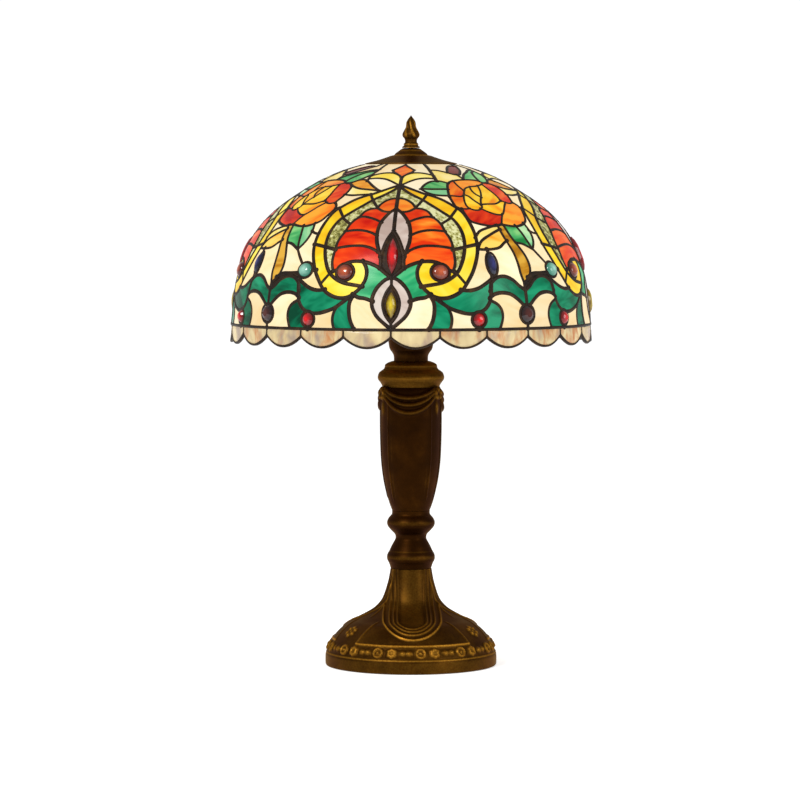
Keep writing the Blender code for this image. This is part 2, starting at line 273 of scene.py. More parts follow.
def skirt_glass():
    """Beige glass with soft grey streaks, and rust ones that are strong in some pieces."""
    tree = Tree("skirt_glass")
    grain = tree.attribute("grain", "Vector")
    grey = tree.noise(grain, (62, 30, 26), 2.5, 0.5, 0.5)
    base = tree.ramp(grey, {0.32: (168, 148, 128), 0.5: (212, 190, 142), 0.7: (230, 210, 158)})
    streaks = tree.spread(tree.noise(grain, (90, 26, 31), 3.0, 0.6, 0.8), -2.1, 2.6)
    stained = tree.math("MULTIPLY", tree.spread(tree.attribute("tint"), -0.9, 1.0), streaks, clamp=True)
    colour = tree.mix(stained, base, srgb(190, 116, 64))
    lit = tree.math("MULTIPLY", tree.attribute("glow"), 0.5)
    tree.backlit(colour, lit, SKIRT_BODY, Roughness=0.25, Specular_IOR_Level=0.25)
    tree.bump(grey, 0.2, 0.0005)
    return tree.owner


def lit_bulb_glass():
    """A frosted bulb, lit warm white."""
    tree = Tree("lit_frosted_glass")
    frost = tree.noise(tree.place(), 500, 4.0, 0.6)
    colour = tree.ramp(frost, {0.3: (255, 226, 170), 0.7: (255, 240, 205)})
    tree.backlit(colour, 0.62, BULB_BODY, Roughness=0.5)
    tree.bump(frost, 0.1, 0.0002)
    return tree.owner


def patinated_lead():
    """Dull lead and solder with a dark brown patina."""
    tree = Tree("patinated_lead")
    blotch = tree.noise(tree.place(), 90, 5.0, 0.6)
    fine = tree.noise(tree.place(), 700)
    colour = tree.ramp(blotch, {0.3: (20, 12, 4), 0.55: (40, 26, 11), 0.8: (70, 49, 24)})
    tree.set(Base_Color=colour, Metallic=0.35, Specular_IOR_Level=0.25)
    tree.set(Roughness=tree.spread(fine, 0.42, 0.62))
    lumps = tree.math("ADD", tree.math("MULTIPLY", blotch, 0.7), tree.math("MULTIPLY", fine, 0.3))
    tree.bump(lumps, 0.45, 0.0008)
    return tree.owner


def rubbed_bronze():
    """Dark brown patina in the hollows, rubbed to a golden brown where the relief stands proud."""
    tree = Tree("rubbed_bronze")
    cloud = tree.noise(tree.place(), 28, 5.0, 0.6)
    fine = tree.noise(tree.place(), 520, 4.0, 0.6)
    dark = tree.ramp(cloud, {0.3: (29, 15, 4), 0.55: (41, 23, 6), 0.8: (56, 33, 10)})
    gold = tree.ramp(fine, {0.3: (142, 92, 27), 0.7: (198, 143, 52)})
    worn = tree.math("ADD", tree.attribute("rub"), tree.spread(cloud, -0.12, 0.06), clamp=True)
    tree.set(Base_Color=tree.mix(worn, dark, gold), Metallic=0.8, Roughness=tree.spread(fine, 0.36, 0.54))
    tree.set(Specular_IOR_Level=0.2, Specular_Tint=(0.75, 0.53, 0.26))
    tree.bump(fine, 0.18, 0.0004)
    return tree.owner


def plain_metal(name, dark, light, roughness):
    """Turned or pressed metal: cloudy tarnish and fine handling marks."""
    tree = Tree(name)
    tarnish = tree.noise(tree.place(), 70, 4.0, 0.6)
    marks = tree.noise(tree.place(), 900, 3.0, 0.6)
    tree.set(Base_Color=tree.ramp(tarnish, {0.3: dark, 0.7: light}), Metallic=1.0)
    tree.set(Roughness=tree.spread(marks, roughness - 0.08, roughness + 0.1))
    tree.bump(marks, 0.06, 0.0002)
    return tree.owner


def matt_stuff(name, dark, light, grain, roughness, depth):
    """Felt, rubber or moulded plastic: a fine grain and no shine of its own."""
    tree = Tree(name)
    spots = tree.noise(tree.place(), grain, 5.0, 0.7)
    tree.set(Base_Color=tree.ramp(spots, {0.3: dark, 0.7: light}), Roughness=roughness)
    tree.bump(spots, 0.4, depth)
    return tree.owner


GLASSES = {  # dark, middle and light colour, glow and contrast
    "cream": ((248, 214, 154), (254, 230, 182), (255, 241, 206), 0.80, 0.7),
    "yellow": ((236, 176, 24), (247, 210, 42), (255, 228, 84), 0.80, 1.0),
    "lemon": ((236, 190, 50), (248, 216, 76), (255, 234, 130), 0.80, 1.0),
    "pale_yellow": ((232, 190, 84), (246, 220, 118), (255, 236, 168), 0.78, 1.0),
    "gold": ((238, 138, 20), (248, 188, 32), (255, 216, 70), 0.80, 1.3),
    "orange": ((216, 66, 14), (240, 118, 26), (250, 160, 46), 0.80, 1.5),
    "rose_red": ((180, 24, 10), (222, 58, 20), (240, 104, 34), 0.78, 1.4),
    "shell_orange": ((212, 50, 14), (238, 104, 28), (248, 150, 50), 0.80, 1.4),
    "shell_red": ((190, 26, 10), (226, 62, 20), (240, 104, 34), 0.80, 1.4),
    "mauve": ((184, 160, 148), (212, 194, 182), (232, 218, 206), 0.72, 1.0),
    "honey": ((212, 118, 24), (236, 164, 48), (248, 204, 96), 0.78, 1.4),
    "amber": ((140, 84, 14), (190, 130, 30), (220, 168, 62), 0.70, 2.0),
    "russet": ((60, 8, 4), (96, 20, 10), (130, 40, 20), 0.60, 1.2),
    "teal": ((2, 72, 50), (6, 118, 82), (34, 152, 108), 0.72, 1.4),
    "green": ((20, 126, 80), (52, 168, 108), (104, 200, 138), 0.74, 1.3),
    "leaf_green": ((30, 122, 60), (78, 172, 98), (140, 206, 124), 0.74, 1.4),
    "light_green": ((84, 170, 116), (132, 202, 142), (190, 228, 170), 0.76, 1.2),
}
JEWEL_GLASSES = {  # rim and heart colour, and glow
    "jewel_red": ((104, 0, 5), (240, 14, 22), 0.76),
    "jewel_gold": ((112, 88, 2), (232, 204, 40), 0.72),
    "jewel_brown": ((84, 20, 6), (214, 100, 58), 0.66),
    "jewel_amber": ((30, 6, 4), (96, 34, 20), 0.50),
    "jewel_blue": ((6, 8, 30), (56, 60, 130), 0.50),
    "jewel_teal": ((52, 128, 106), (168, 222, 200), 0.70),
}


def glass_materials():
    made = {name: art_glass("glass_" + name, *looks) for name, looks in GLASSES.items()}
    made["hammered"] = hammered_glass("glass_hammered", (92, 88, 22), (172, 168, 90), (230, 228, 170), 0.66)
    return made


def jewel_materials():
    return {name: jewel_glass(name, *looks) for name, looks in JEWEL_GLASSES.items()}


# ---------------------------------------------------------------------------------------------
# The shade's surface and its pattern chart
# ---------------------------------------------------------------------------------------------
# The pattern is drawn on a chart: u is degrees round from the middle of a shell motif, v is degrees of the
# dome's ellipse angle above the pattern's zero line. It repeats every 90 degrees of u.

SHADE_TURN = math.radians(-6.3)
DOME_R = 197.0
DOME_RISE = 172.0
DOME_CENTRE = 390.0
FLARE_FROM = 400.0
FLARE_SLOPE = 0.075
FLARE_OUT = 0.997  # the radial part of the flare's unit normal
CHART_DROP = 1.2
RIM_V = -1.75
TOP_V = 76.0
GLASS_HALF = 1.5
REPEAT = 90.0

SWELL_V = 33.0  # the middle of the shell motif's swell
SWELL_HALF_U, SWELL_HALF_V = 27.0, 23.0
SWELL_TALL = 4.0
THIN, LINE, BOLD = 1.65, 2.2, 2.8  # half widths of the lead, in mm


def swell(u, v):
    """How far the shell motif stands out of the dome, in mm."""
    across = (u - REPEAT * round(u / REPEAT)) / SWELL_HALF_U
    up = (v - SWELL_V) / SWELL_HALF_V
    rho = across * across + up * up
    return SWELL_TALL * (1 - rho) ** 2 if rho < 1 else 0.0


def dome_frame(v):
    """The dome's radius and height in mm, and the radial and upward parts of its normal, at this v."""
    angle = math.radians(v - CHART_DROP)
    radius = DOME_R * math.cos(angle)
    height = DOME_CENTRE + DOME_RISE * math.sin(angle)
    if height < FLARE_FROM:
        start = DOME_R * math.sqrt(1 - ((FLARE_FROM - DOME_CENTRE) / DOME_RISE) ** 2)
        radius = start + FLARE_SLOPE * (FLARE_FROM - height)
        return radius, height, FLARE_OUT, FLARE_SLOPE
    normal = Vector((radius / DOME_R**2, (height - DOME_CENTRE) / DOME_RISE**2)).normalized()
    return radius, height, normal.x, normal.y


def on_shade(u, v, lift=0.0):
    """The world point, in metres, that a chart point lifted off the dome's middle surface stands for."""
    radius, height, out, up = dome_frame(v)
    lift += swell(u, v)
    radius += out * lift
    height += up * lift
    azimuth = math.radians(u) + SHADE_TURN
    return Vector((radius * math.sin(azimuth), -radius * math.cos(azimuth), height)) * MM


def shade_normal(u, v):
    step = 0.3
    across = on_shade(u + step, v) - on_shade(u - step, v)
    up = on_shade(u, v + step) - on_shade(u, v - step)
    return across.cross(up).normalized()


def smooth_path(points, spacing=0.9):
    """A Catmull-Rom curve through (x, y) points, with a point about every `spacing`."""
    ends = [points[0], *points, points[-1]]
    path = []
    for a, b, c, d in zip(ends, ends[1:], ends[2:], ends[3:]):
        steps = max(1, round(math.dist(b, c) / spacing))
        for step in range(steps):
            t = step / steps
            path.append(tuple(
                0.5 * (2 * q + (r - p) * t + (2 * p - 5 * q + 4 * r - s) * t * t
                       + (3 * q - p - 3 * r + s) * t**3)
                for p, q, r, s in zip(a, b, c, d)
            ))
    path.append(points[-1])
    return path


def ring(u, v, half_u, half_v, pointed=False, count=20):
    """A closed outline round a jewel: an ellipse, or a lens with a point at the top and bottom."""
    outline = []
    for i in range(count):
        turn = 2 * math.pi * i / count
        y = math.cos(turn)
        x = math.copysign(1 - y * y, math.sin(turn)) if pointed else math.sin(turn)
        outline.append((u + half_u * x, v + half_v * y))
    return outline


# Lead lines on the right half of a shell motif. Each is mirrored to the left half.
MOTIF_LINES = [
    # outer edge of the yellow scroll, from the apex round and under to the eye
    (BOLD, [(0, 57.6), (4.6, 55.7), (9, 53.8), (13.1, 52), (16.5, 50.9), (20.6, 49), (23.7, 46.8),
            (26.2, 44.6), (27.8, 42.8), (28.8, 40.4), (29.6, 37), (30, 33.4), (29.9, 29.5), (29.4, 26.5),
            (28.2, 22.8), (26.4, 18.6), (24.5, 15.3), (22.9, 12.8), (21, 11), (18.2, 9.6), (15.3, 9.3),
            (13, 10.1), (11, 11.8), (9.5, 13.7), (8.4, 16), (8.1, 18.6), (8.7, 20.8), (9.8, 22.5)]),
    # its inner edge
    (BOLD, [(0, 56.6), (3.5, 53.8), (7.2, 51.2), (11.3, 48.8), (14.5, 46.3), (17.9, 43.7), (20.8, 41.4),
            (22.8, 39.6), (24.4, 36.7), (25.2, 33.4), (25.2, 29.7), (24.7, 26.9), (23.6, 23.3),
            (22.1, 19.9), (20.9, 18.1), (19.4, 16.7), (17.6, 15.5), (15.5, 14.6), (13.5, 14.2),
            (9.3, 13.5)]),
    # bars across the scroll
    (LINE, [(14.2, 52.2), (11.8, 49), (8, 44.3)]),
    (LINE, [(26.5, 45), (22.5, 40.9), (21.6, 39.8), (17.6, 37.2)]),
    (BOLD, [(30, 29.1), (24.9, 28), (20.5, 26.9)]),
    (LINE, [(20.8, 18.3), (23.7, 14.3)]),
    # scalloped outer edge of the shell's five ribs
    (LINE, [(0, 49.3), (3.1, 48.9), (5.7, 47.5), (7.4, 45.6), (8, 43.9)]),
    (LINE, [(7.8, 44), (10.7, 43.8), (13.2, 42.5), (14.7, 39.9)]),
    (LINE, [(14.5, 40.1), (16.3, 38.7), (17.8, 36.5), (18.5, 33.9)]),
    (LINE, [(18.3, 34.3), (19.7, 31.9), (20.5, 29.4), (20.6, 27.2)]),
    (LINE, [(20.5, 27.6), (20.8, 24.5), (20.7, 21.7), (19.9, 19.1)]),
    # between the ribs
    (LINE, [(2.8, 42), (5.3, 42.5), (8.1, 44.2)]),
    (LINE, [(4.9, 37.2), (7.2, 38.5), (10.1, 39.6), (12.5, 40.2), (14.9, 40)]),
    (LINE, [(5.8, 31.8), (8.1, 33.1), (11, 34), (14.4, 34.4), (18.7, 34.1)]),
    (LINE, [(4.9, 25.7), (7.2, 27.1), (10.1, 28), (13.4, 28.2), (16.8, 28), (20.7, 27.4)]),
    (BOLD, [(0, 16.4), (2.3, 18.4), (4.4, 20.2), (6.7, 21.4), (9.6, 22.3), (13.3, 22.4), (16.1, 21.4),
            (18.6, 19.3), (20, 18.9)]),
    # almond of two pale petals above the red jewel, and the collar of the jewel
    (BOLD, [(0, 43.6), (2.1, 42), (3.8, 39.8), (5.3, 37), (5.9, 33.5), (5.7, 30), (4.9, 27), (4, 24.4),
            (3.7, 22), (3.9, 19.9)]),
    (BOLD, [(0, 33.6), (1.4, 31.4), (2.6, 28.6), (3.4, 25.8), (3.9, 24)]),
    # bud under the jewel
    (BOLD, [(0, 16.8), (1.9, 15.9), (3.5, 14.4), (5, 12.2), (6, 9.2), (5.9, 6.3), (4.6, 3.2), (2.3, 0.6),
            (0, -1.5)]),
    (LINE, [(0, 13.9), (1.5, 11.5), (2.5, 8.5), (2.5, 6), (1.6, 3), (0, 0.6)]),
    # foliage between the bud and the arches
    (BOLD, [(5.8, 8.2), (8.2, 9.2), (10.6, 9.6), (12.3, 10.7)]),
    (BOLD, [(12.1, 10.2), (13.2, 7.6), (13.3, 4.6), (12.8, 1.4), (11.6, -1.5)]),
    (LINE, [(12.6, 9.6), (15.4, 8), (17.6, 5.8), (18.6, 3.2), (18.7, 0.8), (18.2, -1.5)]),
    (BOLD, [(21.9, 12.2), (24.9, 12), (27.8, 12.8), (30.4, 14.4), (32.6, 16)]),
    (BOLD, [(13.4, 9.6), (15.8, 7.6), (18.2, 5.8), (21, 4.6), (24, 3.8), (27, 4), (29.6, 5.4), (31.3, 8),
            (32, 11.4), (32.6, 15.8)]),
    (LINE, [(31.6, 8.4), (34, 7), (35.4, 4.8), (35.6, 2), (34.6, -1.5)]),
    (BOLD, [(31.8, 11.6), (32.3, 14.4), (34.8, 16.6), (37.8, 16.9), (40.6, 15.6), (42.8, 13.4),
            (44.9, 12)]),
    (BOLD, [(31.4, 9.2), (32.9, 10.5), (35.8, 11.1), (39, 10.5), (41.7, 8.6), (43.4, 6.9), (45, 6)]),
    # wing above the apex and half of the bud over it
    (LINE, [(0, 57.4), (2.2, 58.2), (5.3, 59.8), (10.1, 61.5), (16.1, 62.1), (21.8, 61.6)]),
    (LINE, [(0, 62.8), (2.4, 64.6), (7.2, 66.2), (13, 66.3), (18, 65.4), (22, 64)]),
    (LINE, [(0, 62.9), (3.6, 65.4), (7.2, 67.2), (8.9, 69)]),
    (LINE, [(8.9, 69), (0, 74.8)]),
    # collar of the round red jewel to the rim
    (BOLD, [(27.5, -0.6), (27.5, -1.7)]),
]

# Lead lines on the motif's middle, and between one motif and the next
SINGLE_LINES = [
    (BOLD, [(0, 63), (0, 33.4)]),
    (LINE, [(0, 17), (0, 13.6)]),
    (LINE, [(0, 0.8), (0, -1.5)]),
    (LINE, [(0, 74.6), (0, 76.4)]),
    (BOLD, [(45, 15.2), (45, 5.6)]),
    (BOLD, [(45, 0.4), (45, -1.7)]),
    (BOLD, [(32.8, 16), (33.1, 19)]),
    (BOLD, [(33.3, 25), (33.1, 27.2)]),
    (BOLD, [(-32.8, 16), (-30.8, 17.4)]),
    (BOLD, [(-27.7, 19.2), (-26.2, 19.2)]),
    (BOLD, [(46.8, 16.4), (49.4, 17.8), (53.4, 18), (57.5, 18.2)]),
    (LINE, [(61.6, 44.9), (63.9, 44.6)]),
    # stem of the rose
    (LINE, [(41.2, 37), (41.6, 33), (42.5, 29.5), (43.6, 25.5), (44.1, 21.5), (44.2, 18), (44.8, 15)]),
    (LINE, [(44, 37.4), (45.1, 32), (46.9, 28), (48.4, 24.4), (49, 21), (48.4, 18), (46.8, 15.8),
            (45, 14.6)]),
    # leaves on its left
    (LINE, [(29.9, 27.6), (31.9, 30.4), (36, 32.8), (40, 34.6), (41.8, 35.2)]),
    (LINE, [(29.7, 27.2), (33, 27), (37.9, 27.6), (41, 29.6), (42.8, 30.6)]),
    (LINE, [(29.7, 31.6), (32.2, 34.3), (36, 35.7), (40.5, 36.9)]),
    # leaves on its right
    (LINE, [(46.2, 29.6), (49.4, 29), (53.4, 26.8)]),
    (LINE, [(50.2, 36.8), (51.4, 33.5), (52.3, 30), (53.2, 26.8)]),
    (LINE, [(55.7, 37.8), (56.5, 34), (55.5, 30), (53.1, 26.8)]),
    (LINE, [(53.1, 27.2), (55.2, 24.4), (57.9, 21)]),
    (LINE, [(56.2, 34.6), (57.9, 33.6), (60.1, 33.2)]),
    # rose: outline, then its petals from the outside in
    (LINE, [(24.8, 50.2), (25.4, 53.5), (27.2, 57.6), (30, 59.6), (34.5, 60.6), (40, 61), (46, 61),
            (51, 60.4), (53.8, 58.9), (56.5, 58.9), (60.5, 57.4), (62, 54.6), (61.4, 51), (59.5, 47.6)]),
    (LINE, [(59.6, 47.4), (60.9, 46.4), (61.7, 44.6), (60, 41.4), (57.9, 38.6), (53.4, 36.8), (49, 36.4),
            (43.6, 37.2)]),
    (LINE, [(43.8, 37.4), (41.5, 36.8), (38.5, 36.5), (32.8, 37.6), (29.9, 39), (28.7, 42.4),
            (28.3, 44.6)]),
    (LINE, [(28.5, 44.4), (26.2, 45.2), (25.3, 47.6), (24.8, 50.4)]),
    (THIN, [(25, 51.2), (28, 50.9), (31, 50.7), (33, 51.8)]),
    (THIN, [(32.6, 60.5), (33, 57.2), (34.4, 54.2)]),
    (THIN, [(33, 51.6), (34.9, 54.2), (37, 55.6), (40.6, 56.4), (44.5, 56.7), (49.4, 57.6), (54, 59)]),
    (THIN, [(34.9, 54.2), (32.6, 51.2), (31.2, 47.8), (31.4, 45.2), (33.4, 43.9), (36.1, 43.8),
            (38.6, 45.2), (39, 46.8)]),
    (THIN, [(33, 51.6), (34.9, 50.9), (36.4, 48.6), (38.9, 46)]),
    (THIN, [(40.4, 56.5), (39.3, 54.4), (39.8, 52), (42, 50.2)]),
    (THIN, [(46.6, 57.2), (44.8, 54), (42.4, 51), (40.2, 48.6), (38.6, 46)]),
    (THIN, [(50.9, 58), (51.6, 54.6), (52.4, 51.4), (52.2, 48.2)]),
    (THIN, [(38.4, 46.5), (42, 46.7), (46.8, 46.8), (50, 47.6), (52.6, 48.6)]),
    (THIN, [(37.3, 44.6), (40.4, 42.8), (44, 41.6), (47, 41.8), (49.4, 43.6), (51.6, 45.6), (54.5, 47.6)]),
    (THIN, [(52.1, 48.8), (54.5, 47.4), (57.2, 47), (59.7, 47.6)]),
    (THIN, [(28.3, 44.5), (30.4, 44.3), (32.2, 44.6)]),
    (THIN, [(47.2, 42), (45.2, 39.8), (43.4, 37)]),
    # leaves to the right of the apex
    (LINE, [(11.2, 54.8), (13.5, 57.4), (17, 59.4), (20.5, 60.1), (24, 60), (28.2, 58.6)]),
    (LINE, [(11.2, 55.2), (16, 54.9), (22, 54.9), (26, 54.9)]),
    (LINE, [(11.2, 55), (14.8, 52.6), (19, 51.4), (25, 51.1)]),
    # fan of long leaves over the rose
    (BOLD, [(21.9, 76.2), (21.7, 70), (21.6, 65), (21.9, 60)]),
    (LINE, [(21.5, 69), (27.6, 68.6), (31.5, 67.6), (34.6, 66.6)]),
    (LINE, [(34.4, 66.5), (38, 69.2), (42, 71.4), (47.5, 73.2), (53, 73.6), (58, 72.8)]),
    (LINE, [(34.4, 66.7), (38.5, 65), (42.6, 64.9), (46.5, 66.6), (51, 68.8), (54.5, 70.8), (58.2, 72.9)]),
    (LINE, [(40.6, 65.1), (41.6, 60.8)]),
    (LINE, [(58.2, 72.9), (60.5, 76)]),
    (LINE, [(41.5, 61.4), (44.4, 63.6), (48.6, 65.6), (54.7, 67.2), (61, 68.8), (68.4, 69.5)]),
    (LINE, [(52.4, 60), (54, 62.6), (56.6, 64.8), (61, 67), (67.6, 68.2)]),
    (LINE, [(56.2, 58.7), (59.6, 59.6), (63, 61.6), (66.6, 64.4), (67.7, 65.2)]),
    (LINE, [(68.6, 60), (67.6, 62.8), (67.4, 65.2), (68.2, 69.6), (66.5, 76.2)]),
    # leaves to the left of the next apex
    (LINE, [(58.6, 59.2), (62.6, 60.9), (66.5, 61), (70, 59.6), (75, 56.6), (79.4, 54.1)]),
    (LINE, [(60.4, 57.4), (64, 56.2), (68, 55.2), (73, 54.7), (77.5, 54.2), (81, 53.8)]),
    (LINE, [(61.4, 51.8), (66, 51.4), (70.5, 51.6), (76.9, 52)]),
]

# Jewels: u, v, half width and half height in degrees, kind, glass, width of the lead collar, and sides
JEWELS = [
    (0, 24.3, 1.85, 6.3, "marquise", "jewel_red", 0, (1,)),
    (0, 6.9, 1.6, 4.6, "marquise", "jewel_gold", 0, (1,)),
    (15.55, 18.6, 2.75, 2.75, "cabochon", "jewel_brown", 0.75, (1, -1)),
    (27.5, 1.7, 1.9, 2.35, "round", "jewel_red", 1.0, (1, -1)),
    (45, 3.4, 2.5, 3.0, "round", "jewel_amber", 0.85, (1,)),
    (33.7, 21.5, 1.7, 4.0, "oval", "jewel_blue", 0.7, (1,)),
    (-30.6, 19.2, 2.5, 2.5, "cabochon", "jewel_teal", 0.75, (1,)),
]

# One seed point for each glass piece, on the right half of a motif; each is mirrored
MOTIF_SEEDS = {
    "yellow": [(7, 53.2), (18.9, 46.8), (27.4, 36), (27.2, 24), (19.5, 12.7), (10.7, 18.5)],
    "hammered": [(4, 51), (12.8, 45.2), (21.6, 35), (22.5, 24.5)],
    "shell_orange": [(3, 46)],
    "mauve": [(3.1, 36), (4.2, 8.5)],
    "green": [(5.7, 15.5)],
    "cream": [(9, 4), (21.5, 1.5), (39, 6)],
    "teal": [(15.6, 3.5), (25, 8.5), (33, 2.5), (38.5, 13.8)],
    "lemon": [(9, 63.8)],
}

# Glass pieces that are not mirrored
SINGLE_SEEDS = {
    "cream": [
        (28.3, 17.5), (31.9, 35.8), (39.5, 22), (51.9, 22), (58.1, 27.5), (58.4, 37), (63.8, 14.4),
        (7, 57.8), (-9, 58), (15, 70), (-14, 70), (28, 72), (62, 72.3), (65.9, 62.2), (65, 48.5),
        (21.5, 49.3),
    ],
    "amber": [(45.9, 24)],
    "honey": [(36.6, 30), (68.5, 57.5)],
    "pale_yellow": [(33.5, 33.1), (68, 53.2), (28, 64)],
    "leaf_green": [(48.5, 32.5), (19, 57.6), (50, 64), (60, 65)],
    "light_green": [(53.6, 33), (19, 53)],
    "orange": [(2, 70), (42, 58.8), (28.1, 47.8), (53.2, 42.5), (29.5, 55.5)],
    "rose_red": [(35.4, 40.5), (56.5, 53)],
    "shell_red": [(-9.7, 41.5), (-11.5, 37), (-12.5, 31), (-12.5, 25), (9.7, 41.5), (12.5, 25)],
    "shell_orange": [(11.5, 37), (12.5, 31)],
    "gold": [(34.1, 47.5), (37.6, 52.2), (42.6, 54.2), (47, 52), (44, 44.4)],
    "russet": [(43, 68)],
}

# ---------------------------------------------------------------------------------------------
# Mesh helpers
# ---------------------------------------------------------------------------------------------


class Parts:
    """Collects closed shapes and point attributes, then makes one object of them."""

    def __init__(self, *attributes):
        self.points = []
        self.faces = []
        self.values = {name: [] for name in attributes}

    def add(self, points, faces, **values):
        start = len(self.points)
        self.points.extend(points)
        self.faces.extend(tuple(start + i for i in face) for face in faces)
        for name, given in values.items():
            self.values[name].extend(given)

    def add_tube(self, rows, sides, points, closed=False):
        """Rings of points that close on themselves as a row, or end flat."""
        faces = grid_faces(rows, sides, closed_rows=closed, closed_columns=True)
        if not closed:
            faces += [tuple(range(sides)), tuple(range((rows - 1) * sides, rows * sides))]
        self.add(points, faces)

    def add_tipped(self, rows, sides, points, **values):
        """Rings that close in a tip at each end: the last ring's tip and then the first ring's come last."""
        faces = grid_faces(rows, sides, closed_columns=True)
        last = (rows - 1) * sides
        for j in range(sides):
            k = (j + 1) % sides
            faces += [(last + j, last + k, last + sides), (k, j, last + sides + 1)]
        self.add(points, faces, **values)

    def build(self, name, material, smooth=True, sharp=None):
        """One object of all that was added. Edges steeper than `sharp` degrees stay crisp."""
        mesh = bpy.data.meshes.new(name)
        mesh.from_pydata(self.points, [], self.faces)
        for attribute, values in self.values.items():
            vector = hasattr(values[0], "__len__")
            layer = mesh.attributes.new(attribute, "FLOAT_VECTOR" if vector else "FLOAT", "POINT")
            flat = np.asarray(values, np.float32).ravel()
            layer.data.foreach_set("vector" if vector else "value", flat)
        mesh.polygons.foreach_set("use_smooth", [smooth] * len(mesh.polygons))
        bm = bmesh.new()
        bm.from_mesh(mesh)
        bmesh.ops.recalc_face_normals(bm, faces=bm.faces)
        if sharp is not None:
            for edge in bm.edges:
                edge.smooth = edge.calc_face_angle(math.pi) < math.radians(sharp)
        bm.to_mesh(mesh)
        bm.free()
        mesh.materials.append(material)
        return add_object(name, mesh)


def place_piece(obj, body, slot, *nodes):
    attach(obj, body)
    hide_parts(*nodes)


def grid_faces(rows, columns, closed_rows=False, closed_columns=False):
    faces = []
    for i in range(rows if closed_rows else rows - 1):
        for j in range(columns if closed_columns else columns - 1):
            low, high = i * columns, (i + 1) % rows * columns
            faces.append((low + j, low + (j + 1) % columns, high + (j + 1) % columns, high + j))
    return faces


CAME_SIDES = 8
CAME_SQUARE = 0.75  # 1 is a round came; less is squarer
CAME_PROUD = 0.75  # how far a came stands out of the glass on the shade's outer face, in mm
CAME_INSIDE = 0.5


def add_came(parts, places, normals, half, proud=CAME_PROUD, closed=False):
    """A lead came along a line of places: a flattened round bead that laps over the glass on both faces."""
    count = len(places)
    points = []
    for i, (place, normal) in enumerate(zip(places, normals)):
        after = places[(i + 1) % count] if closed else places[min(i + 1, count - 1)]
        before = places[i - 1] if closed else places[max(i - 1, 0)]
        side = (after - before).cross(normal).normalized()
        width = half * (1 + 0.10 * noise.noise(place * 90)) * MM
        for turn in range(CAME_SIDES):
            angle = 2 * math.pi * (turn + 0.5) / CAME_SIDES
            x, y = (math.copysign(abs(w) ** CAME_SQUARE, w) for w in (math.cos(angle), math.sin(angle)))
            height = GLASS_HALF + (proud if y > 0 else CAME_INSIDE)
            points.append(place + side * (x * width) + normal * (y * height * MM))
    parts.add_tube(count, CAME_SIDES, points, closed)


SOLDER_PROUD = 0.95


def add_solder_joint(parts, place, normal, radius):
    """A flattened bead of solder where leads meet."""
    rings, sides = 5, 10
    side = normal.orthogonal().normalized()
    other = normal.cross(side)
    points = []
    for i in range(rings):
        rise = math.pi * ((i + 0.5) / rings - 0.5)
        for j in range(sides):
            turn = 2 * math.pi * j / sides
            out = (side * math.cos(turn) + other * math.sin(turn)) * (radius * math.cos(rise))
            points.append(place + (out + normal * ((GLASS_HALF + SOLDER_PROUD) * math.sin(rise))) * MM)
    parts.add_tube(rings, sides, points)


# ---------------------------------------------------------------------------------------------
# The leaded shade
# ---------------------------------------------------------------------------------------------

QUARTERS = ("front", "right", "back", "left")
QUARTERS_BETWEEN = ("front_right", "right_back", "back_left", "left_front")
CHART_REACH = 100.0
OVERRUN = 0.9  # how far a line runs on past its ends where it cuts the glass, in degrees
FIRST_MIDDLE = -41.3  # no piece of glass has its middle near here, so a repeat can start at it
GRID = 1.6  # spacing, in degrees, of the points inside a piece of glass
GLASS_SHRINK = 0.35  # each piece of glass stops this far short of the lead line's middle, in mm
CRISP = 50  # glass and castings keep their edges that are steeper than this, in degrees
GLOW_LEAST, GLOW_MORE = 0.80, 0.23  # away from the bulbs' height, and how much more the glass glows at it
GLOW_V, GLOW_HALF_V = 27, 24
SHELL_SPIN, OTHER_SPIN = 0.15, 0.9  # how far a piece's streaks may turn, in radians


def mirrored(points):
    return [(-u, v) for u, v in points]


def jewels():
    """Every jewel of one repeat, with its place on its own side of the motif."""
    for u, *rest, sides in JEWELS:
        for side in sides:
            yield side * u, *rest


def jewel_collars():
    for u, v, half_u, half_v, shape, _, collar in jewels():
        if collar:
            yield ring(u, v, half_u + collar / 2, half_v + collar / 2, shape == "marquise")


def repeat_lines():
    """The open lead lines of one repeat as (half width, smooth chart path)."""
    lines = []
    for half, points in MOTIF_LINES:
        path = smooth_path(points)
        lines += [(half, path), (half, mirrored(path))]
    return lines + [(half, smooth_path(points)) for half, points in SINGLE_LINES]


def overrun(path):
    """The path run on a little at both ends, so that it surely meets the lines that it stops at."""
    ends = []
    for near, inner in ((path[0], path[1]), (path[-1], path[-2])):
        reach = OVERRUN / math.dist(near, inner)
        ends.append(tuple(n + (n - i) * reach for n, i in zip(near, inner)))
    return [ends[0], *path, ends[1]]


